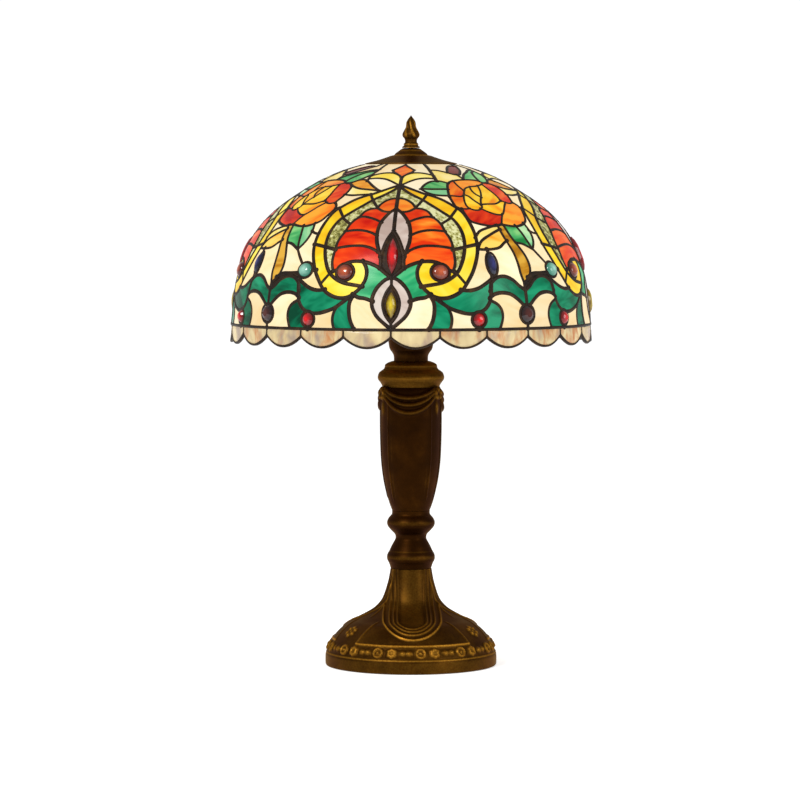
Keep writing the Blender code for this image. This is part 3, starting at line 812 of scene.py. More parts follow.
class Chart:
    """The pattern cut into triangles, grouped into the regions that the lead lines bound."""

    def __init__(self, lines, collars):
        self.coords = []
        self.edges = []
        for shift in (-2 * REPEAT, -REPEAT, 0, REPEAT, 2 * REPEAT):
            for path in [overrun(path) for _, path in lines] + [path + path[:1] for path in collars]:
                self.add_path([(u + shift, v) for u, v in path])
        steps = round(2 * CHART_REACH / GRID)
        along = [-CHART_REACH + GRID * i for i in range(steps + 1)]
        self.add_path([(u, RIM_V) for u in along])
        self.add_path([(u, TOP_V) for u in along])
        for row in range(1, int((TOP_V - RIM_V) / GRID)):
            offset = GRID / 2 * (row % 2)
            self.coords.extend((u + offset, RIM_V + GRID * row) for u in along[:-1])
        self.triangulate()
        self.group()

    def add_path(self, path):
        path = [(u, min(max(v, RIM_V), TOP_V)) for u, v in path]
        inside = [abs(u) <= CHART_REACH + 0.01 for u, v in path]
        start = len(self.coords)
        self.coords.extend(path)
        self.edges.extend(
            (start + i, start + i + 1) for i in range(len(path) - 1) if inside[i] and inside[i + 1]
        )

    def triangulate(self):
        wanted = [Vector(c) for c in self.coords]
        verts, edges, faces, _, from_edges, _ = delaunay_2d_cdt(wanted, self.edges, [], 0, 1e-4)
        self.verts = verts
        self.walls = {tuple(sorted(e)) for e, origin in zip(edges, from_edges) if origin}
        self.faces = [
            face for face in faces
            if RIM_V < sum(verts[i].y for i in face) / 3 < TOP_V
            and all(abs(verts[i].x) < CHART_REACH for i in face)
        ]
        self.corners = np.array([[verts[i] for i in face] for face in self.faces])

    def group(self):
        """Gathers the triangles that no lead line parts into regions."""
        sides = {}
        for index, face in enumerate(self.faces):
            for edge in zip(face, face[1:] + face[:1]):
                sides.setdefault(tuple(sorted(edge)), []).append(index)
        neighbours = [[] for _ in self.faces]
        for edge, pair in sides.items():
            if len(pair) == 2 and edge not in self.walls:
                neighbours[pair[0]].append(pair[1])
                neighbours[pair[1]].append(pair[0])
        self.region_of = [-1] * len(self.faces)
        self.regions = []
        for start in range(len(self.faces)):
            if self.region_of[start] >= 0:
                continue
            found, waiting = [], [start]
            self.region_of[start] = len(self.regions)
            while waiting:
                index = waiting.pop()
                found.append(index)
                for other in neighbours[index]:
                    if self.region_of[other] < 0:
                        self.region_of[other] = len(self.regions)
                        waiting.append(other)
            self.regions.append(found)

    def region_at(self, u, v):
        along = np.roll(self.corners, -1, axis=1) - self.corners
        turns = along[:, :, 0] * (v - self.corners[:, :, 1]) - along[:, :, 1] * (u - self.corners[:, :, 0])
        inside = (turns >= 0).all(axis=1) | (turns <= 0).all(axis=1)
        found = np.flatnonzero(inside)
        return self.region_of[found[0]] if len(found) else None

    def middle(self, region):
        """The region's middle in u."""
        area = middle = 0.0
        for index in self.regions[region]:
            a, b, c = (self.verts[i] for i in self.faces[index])
            size = abs((b - a).cross(c - a))
            area += size
            middle += size * (a.x + b.x + c.x) / 3
        return middle / area


def glass_regions(chart):
    """{region: glass name} for the repeat round u = 0. A region that no seed names is solid lead."""
    seeds = []
    for glass, places in MOTIF_SEEDS.items():
        seeds += [(glass, *place) for place in places + mirrored(places)]
    for glass, places in SINGLE_SEEDS.items():
        seeds += [(glass, *place) for place in places]
    seeds += [("jewel", u, v) for u, v, *_, collar in jewels() if collar]
    named = {}
    for glass, u, v in seeds:
        for shift in (-REPEAT, 0, REPEAT):
            if abs(u + shift) < CHART_REACH:
                region = chart.region_at(u + shift, v)
                if region is not None:
                    named.setdefault(region, glass)
    kept = {}
    for region in range(len(chart.regions)):
        if FIRST_MIDDLE <= chart.middle(region) < FIRST_MIDDLE + REPEAT:
            kept[region] = named.get(region, "lead")
    return kept


def turn_about_axis(quarter):
    return Matrix.Rotation(quarter * math.pi / 2, 4, "Z")


def turned_frames(path, quarter):
    """The places and normals of chart points, turned by a number of quarters about the lamp's axis."""
    turn = turn_about_axis(quarter)
    places = [turn @ on_shade(u, v) for u, v in path]
    return places, [turn.to_3x3() @ shade_normal(u, v) for u, v in path]


def region_solid(chart, region):
    """One piece of glass as (chart places, outer points, inner points, triangles, walls), in metres."""
    triangles = [chart.faces[i] for i in chart.regions[region]]
    used = sorted({i for face in triangles for i in face})
    index = {old: new for new, old in enumerate(used)}
    faces = [tuple(index[i] for i in face) for face in triangles]
    places = [chart.verts[i] for i in used]
    middle = [on_shade(*p) for p in places]
    normals = [shade_normal(*p) for p in places]
    sides = {}
    for face in faces:
        for a, b in zip(face, face[1:] + face[:1]):
            if (b, a) in sides:
                del sides[b, a]
            else:
                sides[a, b] = True
    inward = {}
    for a, b in sides:
        along = middle[b] - middle[a]
        across = normals[a].cross(along)
        if across.length:
            across.normalize()
            for end in (a, b):
                inward[end] = inward.get(end, Vector((0, 0, 0))) + across
    for vertex, direction in inward.items():
        if direction.length > 1e-6:
            middle[vertex] = middle[vertex] + direction.normalized() * GLASS_SHRINK * MM
    outer, inner = (
        [m + n * (half * MM) for m, n in zip(middle, normals)] for half in (GLASS_HALF, -GLASS_HALF)
    )
    return places, outer, inner, faces, list(sides)


def lamp_glow(v):
    """How brightly the bulbs light the glass at this height of the chart."""
    return GLOW_LEAST + GLOW_MORE * math.exp(-(((v - GLOW_V) / GLOW_HALF_V) ** 2))


def somewhere(luck):
    """A random place in the glass's streaks."""
    return Vector([luck.uniform(0, 9) for _ in range(3)])


def add_region(parts, solid, quarter, luck, glass):
    places, outer, inner, faces, sides = solid
    turn = turn_about_axis(quarter)
    count = len(places)
    points = [turn @ p for p in outer + inner]
    solid_faces = list(faces) + [tuple(count + i for i in reversed(face)) for face in faces]
    solid_faces += [(b, a, count + a, count + b) for a, b in sides]
    if glass == "lead":
        parts.add(points, solid_faces)
        return
    most = SHELL_SPIN if glass.startswith("shell") else OTHER_SPIN
    spin = Matrix.Rotation(luck.uniform(-most, most), 3, "Z")
    offset = somewhere(luck)
    tint = luck.random()
    brightness = luck.uniform(0.88, 1.08)
    middle_u = sum(p.x for p in places) / count
    grain = []
    glow = []
    for place in places:
        radius = dome_frame(place.y)[0]
        flat = Vector((math.radians(place.x - middle_u) * radius * MM, math.radians(place.y) * 0.18, 0))
        flat.rotate(spin)
        grain.append(flat + offset)
        glow.append(lamp_glow(place.y) * brightness)
    parts.add(points, solid_faces, grain=grain * 2, tint=[tint] * (2 * count), glow=glow * 2)


# Jewels go up in rings: each ring's size and its height over the shade's surface, in mm
CABOCHON = [
    (0.9, -2.4), (1, -0.5), (1, 1.4), (0.95, 2.9), (0.84, 4.1), (0.66, 5.1), (0.42, 5.8), (0.18, 6.1),
]
FACETED = [(0.7, -2.6), (1, -0.6), (1, 1.9), (0.74, 4.1), (0.42, 5.3)]
JEWEL_SIDES = {"cabochon": 28, "marquise": 16, "oval": 12, "round": 14}


def add_jewel(parts, place, quarter):
    """A pressed glass jewel set in the shade, flat-based and domed or faceted outwards."""
    u, v, half_u, half_v, shape, _, _ = place
    turn = turn_about_axis(quarter)
    centre = on_shade(u, v)
    normal = shade_normal(u, v)
    east = on_shade(u + 0.5, v) - on_shade(u - 0.5, v)
    north = on_shade(u, v + 0.5) - on_shade(u, v - 0.5)
    levels = CABOCHON if shape == "cabochon" else FACETED
    sides = JEWEL_SIDES[shape]
    points, heart = [], []
    for scale, lift in levels:
        for x, y in ring(0, 0, half_u, half_v, shape == "marquise", sides):
            points.append(turn @ (centre + east * (x * scale) + north * (y * scale) + normal * (lift * MM)))
            heart.append(1 - scale * 0.9)
    for lift, bright in ((levels[-1][1] + 0.15, 1.0), (levels[0][1] - 0.3, 0.3)):
        points.append(turn @ (centre + normal * (lift * MM)))
        heart.append(bright)
    parts.add_tipped(len(levels), sides, points, heart=heart)


def build_lead(lead_parts, lines, collars, quarter):
    """The cames of one repeat, and a bead of solder wherever a line ends."""
    for half, path in lines:
        inside = [p for p in path if RIM_V <= p[1] <= TOP_V]
        add_came(lead_parts, *turned_frames(inside, quarter), half)
    for path in collars:
        add_came(lead_parts, *turned_frames(path, quarter), LINE, closed=True)
    joints = {}
    for half, path in lines:
        for u, v in (path[0], path[-1]):
            joints[round(u), round(v)] = (u, v, half)
    for u, v, half in joints.values():
        if RIM_V < v < TOP_V - 1:
            (place,), (normal,) = turned_frames([(u, v)], quarter)
            add_solder_joint(lead_parts, place, normal, half * 1.35)


def build_shade(lead, luck):
    lines = repeat_lines()
    collars = list(jewel_collars())
    chart = Chart(lines, collars)
    regions = {region: glass for region, glass in glass_regions(chart).items() if glass != "jewel"}
    solids = {region: region_solid(chart, region) for region in regions}
    glasses = glass_materials()
    jewel_glasses = jewel_materials()
    for quarter, word in enumerate(QUARTERS):
        shell_panel, rose_panel = "shell_panel_" + word, "rose_panel_" + QUARTERS_BETWEEN[quarter]
        panes = {"lead": Parts()}
        for region, glass in regions.items():
            if glass not in panes:
                panes[glass] = Parts("grain", "tint", "glow")
            add_region(panes[glass], solids[region], quarter, luck, glass)
        lead_parts = panes.pop("lead")
        build_lead(lead_parts, lines, collars, quarter)
        place_piece(lead_parts.build("lead_lines_" + word, lead), "shade", "solder", shell_panel, rose_panel)
        for glass, parts in panes.items():
            made = parts.build(f"glass_{glass}_{word}", glasses[glass], sharp=CRISP)
            if glass.startswith("shell") or glass in ("mauve", "hammered"):
                place_piece(made, "shade", "shell_glass", shell_panel)
            else:
                place_piece(made, "shade", "rose_glass", rose_panel)
        for glass in dict.fromkeys(jewel[5] for jewel in jewels()):
            for smooth in (True, False):
                parts = Parts("heart")
                for jewel in jewels():
                    if jewel[5] == glass and (jewel[4] == "cabochon") == smooth:
                        add_jewel(parts, jewel, quarter)
                if parts.points:
                    made = parts.build(f"{glass}_{word}", jewel_glasses[glass], smooth)
                    place_piece(made, "shade", "shell_glass", shell_panel)


# ---------------------------------------------------------------------------------------------
# Skirt of scallops under the rim
# ---------------------------------------------------------------------------------------------

SCALLOPS = 24
SCALLOP = 360 / SCALLOPS
SKIRT_TOP = 381.0
SKIRT_NOTCH = 373.4
SKIRT_TIP = 361.9
SKIRT_FLARE = 0.06
SKIRT_R = 197.94
SKIRT_RADIUS_FROM = 379.5
SKIRT_HALF = 1.5  # half width of the skirt's lead
SKIRT_PROUD = 0.6
RIM_HALF = 1.9
RIM_PROUD = 1.0
PANE_COLUMNS, PANE_ROWS = 17, 5
PANE_SHARE = 0.97  # how much of a scallop's width its glass takes up
PANE_SHORT = 0.4  # how far the glass stops above the scallop's edge
NOTCH_JOINT_R, RIM_JOINT_R = 2.1, 2.2  # radii of the solder joints between two scallops


def on_skirt(u, z, lift=0.0):
    radius = SKIRT_R + SKIRT_FLARE * (SKIRT_RADIUS_FROM - z) + lift
    azimuth = math.radians(u) + SHADE_TURN
    return Vector((radius * math.sin(azimuth), -radius * math.cos(azimuth), z)) * MM


def skirt_normal(u):
    azimuth = math.radians(u) + SHADE_TURN
    return Vector((math.sin(azimuth), -math.cos(azimuth), SKIRT_FLARE)).normalized()


def scallop_edge(across):
    """The height of a scallop's lower edge; across goes from -1 to 1."""
    return SKIRT_NOTCH - (SKIRT_NOTCH - SKIRT_TIP) * (1 - across**2)


def add_pane(panes, start, luck):
    """One scallop of glass, from the chart angle `start` on."""
    tint = luck.random()
    offset = somewhere(luck)
    points, grain = [], []
    for lift in (GLASS_HALF, -GLASS_HALF):
        for row in range(PANE_ROWS):
            for column in range(PANE_COLUMNS):
                across = (2 * column / (PANE_COLUMNS - 1) - 1) * PANE_SHARE
                low = scallop_edge(across) + PANE_SHORT
                z = SKIRT_TOP + (low - SKIRT_TOP) * row / (PANE_ROWS - 1)
                points.append(on_skirt(start + SCALLOP / 2 * (1 + across), z, lift))
                grain.append(Vector((across * 0.025, z * MM, 0)) + offset)
    face = grid_faces(PANE_ROWS, PANE_COLUMNS)
    half = PANE_ROWS * PANE_COLUMNS
    faces = face + [tuple(half + i for i in reversed(f)) for f in face]
    border = [*range(PANE_COLUMNS), *range(2 * PANE_COLUMNS - 1, half, PANE_COLUMNS)]
    border += range(half - 2, half - PANE_COLUMNS - 1, -1)
    border += range(half - 2 * PANE_COLUMNS, 0, -PANE_COLUMNS)
    faces += [(a, b, half + b, half + a) for a, b in zip(border, border[1:] + border[:1])]
    bright = luck.uniform(0.85, 1.1)
    panes.add(points, faces, grain=grain, tint=[tint] * len(points), glow=[bright] * len(points))


def build_skirt(lead, luck):
    glass = skirt_glass()
    for quarter, word in enumerate(QUARTERS_BETWEEN):
        panes = Parts("grain", "tint", "glow")
        cames = Parts()
        for scallop in range(SCALLOPS // 4):
            start = quarter * REPEAT + scallop * SCALLOP
            add_pane(panes, start, luck)
            arc = [-math.cos(math.pi * step / 20) for step in range(21)]
            edge = [(start + SCALLOP / 2 * (1 + across), scallop_edge(across)) for across in arc]
            upright = [(start, SKIRT_TOP - 1.5 * step) for step in range(6)]
            for path in (edge, upright):
                normals = [skirt_normal(u) for u, _ in path]
                add_came(cames, [on_skirt(u, z) for u, z in path], normals, SKIRT_HALF, SKIRT_PROUD)
            for z, radius in ((SKIRT_NOTCH, NOTCH_JOINT_R), (SKIRT_TOP, RIM_JOINT_R)):
                add_solder_joint(cames, on_skirt(start, z), skirt_normal(start), radius)
        node = "skirt_" + word
        place_piece(panes.build("skirt_glass_" + word, glass), "shade", "skirt_glass", node)
        place_piece(cames.build("skirt_lead_" + word, lead), "shade", "solder", node)
    rim = Parts()
    places, normals = turned_frames([(u, RIM_V) for u in range(0, 360, 2)], 0)
    add_came(rim, places, normals, RIM_HALF, RIM_PROUD, closed=True)
    place_piece(rim.build("rim_lead", lead), "shade", "solder", "rim_band")


# ---------------------------------------------------------------------------------------------
# Relief castings of the stand
# ---------------------------------------------------------------------------------------------
# A relief is a height in mm over a piece's turned surface, and a rub from 0 to 1 where the patina is worn
# to gold. It is worked out from a, degrees round from the middle of one of the piece's three repeats; from
# r and z, the turned surface's radius and height; and from s, the mm along its section from the top.

REPEATS_ROUND = 3
BORE = 5.3
FOOT_TURN = 1.5
COLUMN_TURN = -4.0


def bump(distance, width):
    """A rounded ridge: 1 where the distance is 0, falling away over the width."""
    return np.exp(-((distance / width) ** 2))


def step_up(value, low, high):
    t = np.clip((value - low) / (high - low), 0, 1)
    return t * t * (3 - 2 * t)


def emboss(surface, shape, tall, worn):
    """The (height, rub) surface with a shape raised on it by so many mm, and rubbed."""
    height, rub = surface
    return height + tall * shape, np.maximum(rub, worn * shape)


def dot_ring(across, along, count, phase, reach, width):
    """The dots of a flower, one after the other."""
    for dot in range(count):
        turn = 2 * math.pi * (dot + phase) / count
        yield bump(np.hypot(across - reach * math.cos(turn), along - reach * math.sin(turn)), width)


def relief_piece(name, metal, section, inside, relief, around, turn=0, spacing=1.0):
    """A turned shell with relief outside. Section and inside are (radius, height) in mm, both downwards."""
    outer = np.array(smooth_path(section, spacing))
    along = np.gradient(outer, axis=0)
    length = np.concatenate([[0], np.cumsum(np.hypot(*np.diff(outer, axis=0).T))])
    normal = np.stack([-along[:, 1], along[:, 0]], axis=1)
    normal /= np.maximum(np.linalg.norm(normal, axis=1, keepdims=True), 1e-9)
    azimuth = np.arange(around) * 360 / around
    repeat = 360 / REPEATS_ROUND
    a = np.tile((azimuth + repeat / 2) % repeat - repeat / 2, (len(outer), 1))
    r, z, s = (np.tile(column[:, None], (1, around)) for column in (outer[:, 0], outer[:, 1], length))
    height, rub = relief(a, r, z, s)
    back = np.array(inside[::-1], float)
    radius, level = (
        np.vstack([surface + normal[:, [axis]] * height, np.tile(back[:, [axis]], (1, around))])
        for axis, surface in enumerate((r, z))
    )
    rub = np.vstack([rub, np.zeros((len(back), around))])
    angle = np.radians(azimuth + turn)
    points = np.stack([radius * np.sin(angle), -radius * np.cos(angle), level], axis=2).reshape(-1, 3) * MM
    parts = Parts("rub")
    faces = grid_faces(len(radius), around, closed_rows=True, closed_columns=True)
    parts.add(points.tolist(), faces, rub=rub.ravel().tolist())
    return parts.build(name, metal, sharp=CRISP)


def plain_relief(edges, overall=0.05):
    """No relief: only the turned edges at these heights are rubbed, as (height, width, rub)."""
    def relief(a, r, z, s):
        rub = np.full(a.shape, overall)
        for at, width, amount in edges:
            rub = np.maximum(rub, amount * bump(z - at, width))
        return np.zeros(a.shape), rub
    return relief


TONGUE_END = 69.5  # the radius where the flat of a tongue ends
TONGUE_RIBS = ((17.0, 0.9, 0.45), (21.5, 0.9, 0.5), (26.5, 1.0, 0.6), (33.5, 1.3, 0.95))
FRAME_LINE = 87.0  # radius of the gold line under the tongues
FRAME_ENDS = 45.5
BEAD_ROW_Z = 23.2
BEADS = 12  # in one repeat
FLOWER_R = 77.5


def foot_relief(a, r, z, s):
    """Ribbed tongues, framed panels, flowers of dots, and a border of bosses, blossoms and leaves."""
    def along_to(radius):
        return s[:, 0][np.argmin(np.abs(r[:, 0] - radius))]

    side = np.abs(a)
    arc = np.radians(1) * r
    x = r * np.sin(np.radians(a)) / (0.86 + 0.14 * step_up(r, 26, 60))
    past = s - (along_to(TONGUE_END) - TONGUE_RIBS[0][0])
    d = np.hypot(x / (1 - 0.05 * step_up(past, -16, 4)), np.maximum(past, 0))
    upper = step_up(r, 86, 83)
    height = -0.9 * step_up(d, 16, 14.5) * upper
    rub = 0.06 * step_up(d, 16, 10) * upper + 0.08
    for at, tall, worn in TONGUE_RIBS:
        height = height + tall * bump(d - at, 1.35) * upper
        rub = np.maximum(rub, worn * bump(d - at - 0.4, 1.0) * upper * (0.35 + 0.65 * step_up(r, 40, 75)))
    surface = height, rub
    below = s - along_to(FRAME_LINE)
    line = bump(below, 1.1) * step_up(side, FRAME_ENDS + 1.2, FRAME_ENDS)
    surface = emboss(surface, line, 1.1, 1.0)
    leaning = FRAME_ENDS - 10.5 * (1 - np.clip((r - 34) / 53, 0, 1))
    frame = bump((side - leaning) * arc, 1.1) * step_up(r, 56, 61) * step_up(below, 1, -1)
    surface = emboss(surface, frame, 0.8, 0.3)
    spine = bump((60 - side) * arc, 1.3) * step_up(r, 56, 48)
    surface = emboss(surface, spine, 0.8, 0.3)

    across, along = (60 - side) * arc, s - along_to(FLOWER_R)
    for dot in dot_ring(across, along, 6, 0.5, 5.6, 2.3):
        surface = emboss(surface, dot, 2.1, 0.8)
    height, rub = emboss(surface, bump(np.hypot(across, along), 1.6), 1.5, 0.7)

    band = step_up(below, 2, 3.5) * step_up(z, 15.5, 17)
    pitch = 360 / REPEATS_ROUND / BEADS
    number = np.floor(a / pitch)
    bx = (a - (number + 0.5) * pitch) * arc
    by = z - BEAD_ROW_Z
    reach = np.hypot(bx, by * 1.1)
    centre = bump(reach, 1.9)
    boss = np.maximum(bump(reach - 4.6, 1.4), centre)
    blossom = np.maximum(bump(reach - 3.5 - 0.45 * np.cos(6 * np.arctan2(bx, by)), 2.1), 0.7 * centre)
    leaves = bump(np.hypot((np.abs(bx) - 3.6) / 1.5, by), 2.4)
    bead = np.choose((number % 3).astype(int), (boss, blossom, leaves))
    surface = emboss((height - 0.6 * band, rub), bead * band, 2.3, 0.6)
    height, rub = emboss(surface, bump(z - 15.2, 0.9), 0.5, 0.5)
    return height, np.maximum(rub, 0.13 * step_up(z, 14, 12))


SWAG_STRANDS = ((309.5, 299.5), (306.5, 292.0), (302.0, 283.0))  # heights at the rosettes and in the middle
ROSETTE_Z = 303.5
DROP_Z = 288
PANEL_EDGE = 44.0
PANEL_LOW, PANEL_HIGH = (183, 190), (299, 292)


def vase_relief(a, r, z, s):
    """Long panels between raised ribs, three-strand swags over them, and a rosette between two swags."""
    side = np.abs(a)
    arc = np.radians(1) * r
    inside = step_up(z, *PANEL_LOW) * step_up(z, *PANEL_HIGH)
    surface = -0.9 * step_up(side, PANEL_EDGE, PANEL_EDGE - 3) * inside, np.full(a.shape, -0.05)
    for at, tall in ((PANEL_EDGE, 0.8), (PANEL_EDGE - 7.5, 0.5)):
        surface = emboss(surface, bump((side - at) * arc, 0.9) * inside, tall, 0.04)
    height, rub = surface
    share = np.clip(side / 54, 0, 1)
    for end, middle in SWAG_STRANDS:
        strand_z = middle + (end - middle) * share**2
        strand = bump(z - strand_z, 2.9) * step_up(side, 58, 53)
        height = np.maximum(height, 3.1 * strand - 0.25)
        rub = np.maximum(rub, 0.16 * bump(z - strand_z - 0.4, 2.0) * step_up(side, 57, 52))
    across, up = (60 - side) * arc, z - ROSETTE_Z
    surface = np.maximum(height, 2.4 * step_up(np.hypot(across, up), 8.0, 6.0)), rub
    for dot in dot_ring(across, up, 5, 0.25, 4.4, 2.4):
        surface = emboss(surface, dot, 1.8, 0.4)
    return emboss(surface, bump(np.hypot(across / 2.4, (z - DROP_Z) / 6.5), 1.0), 1.6, 0.3)


def flame_relief(a, r, z, s):
    """Leaves that swirl round the finial's bud and close at its tip."""
    flame = step_up(z, 586, 589) * step_up(z, 610, 604)
    swirl = np.cos(np.radians(6 * a) + (z - 590) * 0.22)
    rub = 0.10 + 0.5 * flame * step_up(swirl, 0.3, 1.0)
    collar = np.maximum(bump(z - 579.6, 1.0), bump(z - 575.9, 1.0))
    return 0.45 * swirl * flame, np.maximum(rub, 0.5 * collar)


def cast(bronze, name, body, node, *shape):
    place_piece(relief_piece(name, bronze, *shape), body, "antique_bronze", node)


def build_castings(bronze):
    foot = [
        (22.4, 108), (23.3, 101.7), (25, 92.8), (28.9, 79.4), (33.3, 70.5), (42.2, 61.7), (57.8, 52.8),
        (67.8, 48.3), (79.4, 39.4), (87.2, 30.5), (92.8, 21.7), (94.5, 15), (95.5, 12), (95.5, 2),
        (94.2, 0.5),
    ]
    inside = [(BORE, 108), (BORE, 58), (22, 58), (36, 54), (66, 42), (82, 30), (89.2, 19), (89.2, 0.5)]
    cast(bronze, "foot_casting", "stand", "base_casting", foot, inside, foot_relief, 540, FOOT_TURN)

    knop = [
        (21.1, 172.6), (21.4, 168.4), (25, 164), (26.7, 159.4), (25.6, 154.8), (21.6, 150), (17.9, 146),
        (17.2, 141.6), (19.4, 137), (21.7, 132.8), (23.9, 128), (26.1, 124), (26.8, 120.6), (26.2, 117),
        (24.4, 113.5), (22.7, 108.3),
    ]
    edges = plain_relief([(159.5, 2.6, 0.09), (121, 2.2, 0.11), (127.5, 1.0, 0.08)], -0.04)
    inside = [(BORE, 172.6), (BORE, 108.3)]
    cast(bronze, "knop_casting", "stand", "lower_knop", knop, inside, edges, 144)

    vase = [
        (32.2, 310.7), (33.6, 307), (34.2, 300), (34.4, 272), (33.9, 246), (32.8, 226), (30.5, 208),
        (27.8, 195), (25.6, 186), (23.4, 179), (21, 172.9),
    ]
    inside = [(28.2, 310.7), (30.2, 303), (30.4, 268), (28.9, 228), (25.8, 203), (22.2, 188), (17, 172.9)]
    cast(bronze, "vase_casting", "stand", "vase_column", vase, inside, vase_relief, 360, COLUMN_TURN, 0.8)

    collar = [
        (21.5, 339), (26.1, 337.2), (28.9, 335), (29.1, 333), (30.2, 330.6), (32.8, 328.6), (35.6, 326.2),
        (37, 322), (36.6, 318.8), (34.6, 316), (33, 313.6), (31.8, 311),
    ]
    edges = plain_relief([(321.5, 2.2, 0.32), (334.6, 0.9, 0.3), (328.6, 0.8, 0.22)], 0.18)
    inside = [(BORE, 339), (BORE, 311)]
    cast(bronze, "collar_casting", "stand", "column_collar", collar, inside, edges, 144, 0, 0.7)

    cup = [(30.5, 380), (30, 373), (25.9, 364), (23.9, 353.5), (20.8, 348.6), (19.2, 345), (19, 339.3)]
    inside = [(28.3, 380), (21, 359), (14, 346), (BORE, 343), (BORE, 339.3)]
    edges = plain_relief([(372, 2, 0.2)])
    cast(bronze, "neck_casting", "stand", "neck_cup", cup, inside, edges, 144)

    cap = [
        (3.7, 575.5), (9, 575.3), (13.3, 572.6), (17.6, 569.4), (18.6, 568), (22.6, 567), (27, 565.4),
        (36.8, 562.2), (46, 559.9), (51, 558.6), (51.2, 558),
    ]
    inside = [(3.7, 573.6), (12, 571.2), (22, 565.6), (36, 560.9), (50.4, 557.6)]
    edges = plain_relief([(567.6, 0.7, 0.55), (572.8, 0.9, 0.3), (558.6, 0.5, 0.3)])
    cast(bronze, "shade_cap", "shade", "heat_cap", cap, inside, edges, 180, 0, 0.7)

    flame = [
        (0.05, 612), (1.4, 610), (3.3, 607.4), (5, 603.6), (6.1, 598.2), (7.6, 595), (9.2, 591),
        (8.6, 588.2), (6.9, 585.2), (6.7, 582), (7.9, 580.6), (8.2, 579.4), (7.9, 578.4), (9.7, 577),
        (10, 576), (9.7, 575.8),
    ]
    inside = [(0.05, 590), (3.7, 589), (3.7, 584.3), (5.4, 584.3), (5.4, 575.8)]
    cast(bronze, "flame_finial", "finial_knob", "finial", flame, inside, flame_relief, 96, 20, 0.5)


# ---------------------------------------------------------------------------------------------
# Lamp holders, bulbs, switch chains and the plain pieces inside
# ---------------------------------------------------------------------------------------------

ARM_HEIGHT = 414.0
ARM_RISE = math.radians(12)
CHAIN_X = 48.9
CHAIN_TOP, CHAIN_END = 405.3, 365.8  # from inside the guide to inside the bell
BEAD_PITCH = 3.0
BEAD_R = 1.35
LINK_R = 0.5
ROD_TOP, ROD_LOW = 575.4, 429.0
ROD_R, ROD_ROOT = 3.2, 2.85
ROD_PITCH = 1.0
BRASS_SHARP = 40


def holder_frame(side):
    """The frame of a lamp holder: local Z runs out along it. Side is -1 or 1."""
    turn = Matrix.Rotation(side * (math.pi / 2 - ARM_RISE), 4, "Y")
    return Matrix.Translation((0, 0, ARM_HEIGHT * MM)) @ turn


def add_turned(parts, section, around, place):
    """A turned solid in the place's frame. Its (radius, height) section in mm runs from axis to axis.

    A section that starts off the axis is a closed loop instead, and leaves a bore.
    """
    bored = section[0][0] > 0
    points = []
    for radius, height in section if bored else section[1:-1] + [section[-1], section[0]]:
        for step in range(around if radius else 1):
            turn = 2 * math.pi * step / around
            x, y = radius * math.cos(turn) * MM, radius * math.sin(turn) * MM
            points.append(place @ Vector((x, y, height * MM)))
    if bored:
        parts.add_tube(len(section), around, points, closed=True)
    else:
        parts.add_tipped(len(section) - 2, around, points)


def turned_piece(name, section, around, place, metal, body, slot, node, sharp=BRASS_SHARP):
    parts = Parts()
    add_turned(parts, section, around, place)
    place_piece(parts.build(name, metal, sharp=sharp), body, slot, node)


def build_holder(side, word, brass):
    """A pull-chain lamp holder: arm, domed cap, shell with rolled beads, and the guide of its chain."""
    arm = [(3.6, 27), (5, 27), (5, 12.2), (3.6, 12.2)]
    cap = [
        (17, 41), (18.2, 41), (18.6, 40.2), (18.6, 39), (18.1, 38), (17.7, 36), (16.6, 33.6), (14.4, 30.8),
        (11.6, 28.4), (9, 26.8), (7.9, 26), (7.5, 25), (7.2, 23.5), (5.3, 23.5), (5.3, 27), (10, 29.5),
        (14, 33.4), (16.4, 37),
    ]
    shell = [(17.3, 84), (18.5, 84), (18.9, 83.4), (18.9, 81.8), (18.5, 81)]
    for bead in (77, 47.5):
        shell += [(18.4, bead + 1.6), (18.8, bead + 0.9), (18.9, bead)]
        shell += [(18.8, bead - 0.9), (18.4, bead - 1.6)]
    shell += [(18.5, 41.4), (17.3, 41.4)]
    guide = [(2.3, 404.4), (3.6, 404.4), (3.6, 398.6), (3.3, 398), (2.9, 397.8), (2.3, 397.8)]
    along = holder_frame(side)
    down = Matrix.Translation((side * CHAIN_X * MM, 0, 0))
    for name, node, section, around, place in (
        ("holder_arm_", "socket_arm_", arm, 28, along),
        ("holder_cap_", "socket_cap_", cap, 56, along),
        ("holder_shell_", "socket_shell_", shell, 56, along),
        ("guide_", "chain_guide_", guide, 28, down),
    ):
        turned_piece(name + word, section, around, place, brass, "stand", "aged_brass", node + word)


def build_riser(brass):
    """The hub of the cluster and the threaded rod above it."""
    hub = [(3.5, 440), (12.4, 440), (14.3, 439.3), (15, 437.8)]
    for groove in (433.5, 403.3):
        hub += [(15, groove + 0.7), (14.4, groove), (15, groove - 0.7)]
    hub += [(15, 401.4), (14.4, 400.5), (BORE, 400.5), (BORE, 426), (3.5, 428)]
    turned_piece("hub", hub, 64, Matrix(), brass, "stand", "aged_brass", "cluster_hub")
    rod = [(0, ROD_TOP)]
    for turn in range(int((ROD_TOP - ROD_LOW) / ROD_PITCH)):
        crest = ROD_TOP - ROD_PITCH * (turn + 0.5)
        rod += [(ROD_ROOT, crest + ROD_PITCH * 0.45), (ROD_R, crest), (ROD_ROOT, crest - ROD_PITCH * 0.45)]
    rod.append((0, ROD_LOW))
    turned_piece("threaded_rod", rod, 20, Matrix(), brass, "stand", "aged_brass", "riser_rod")


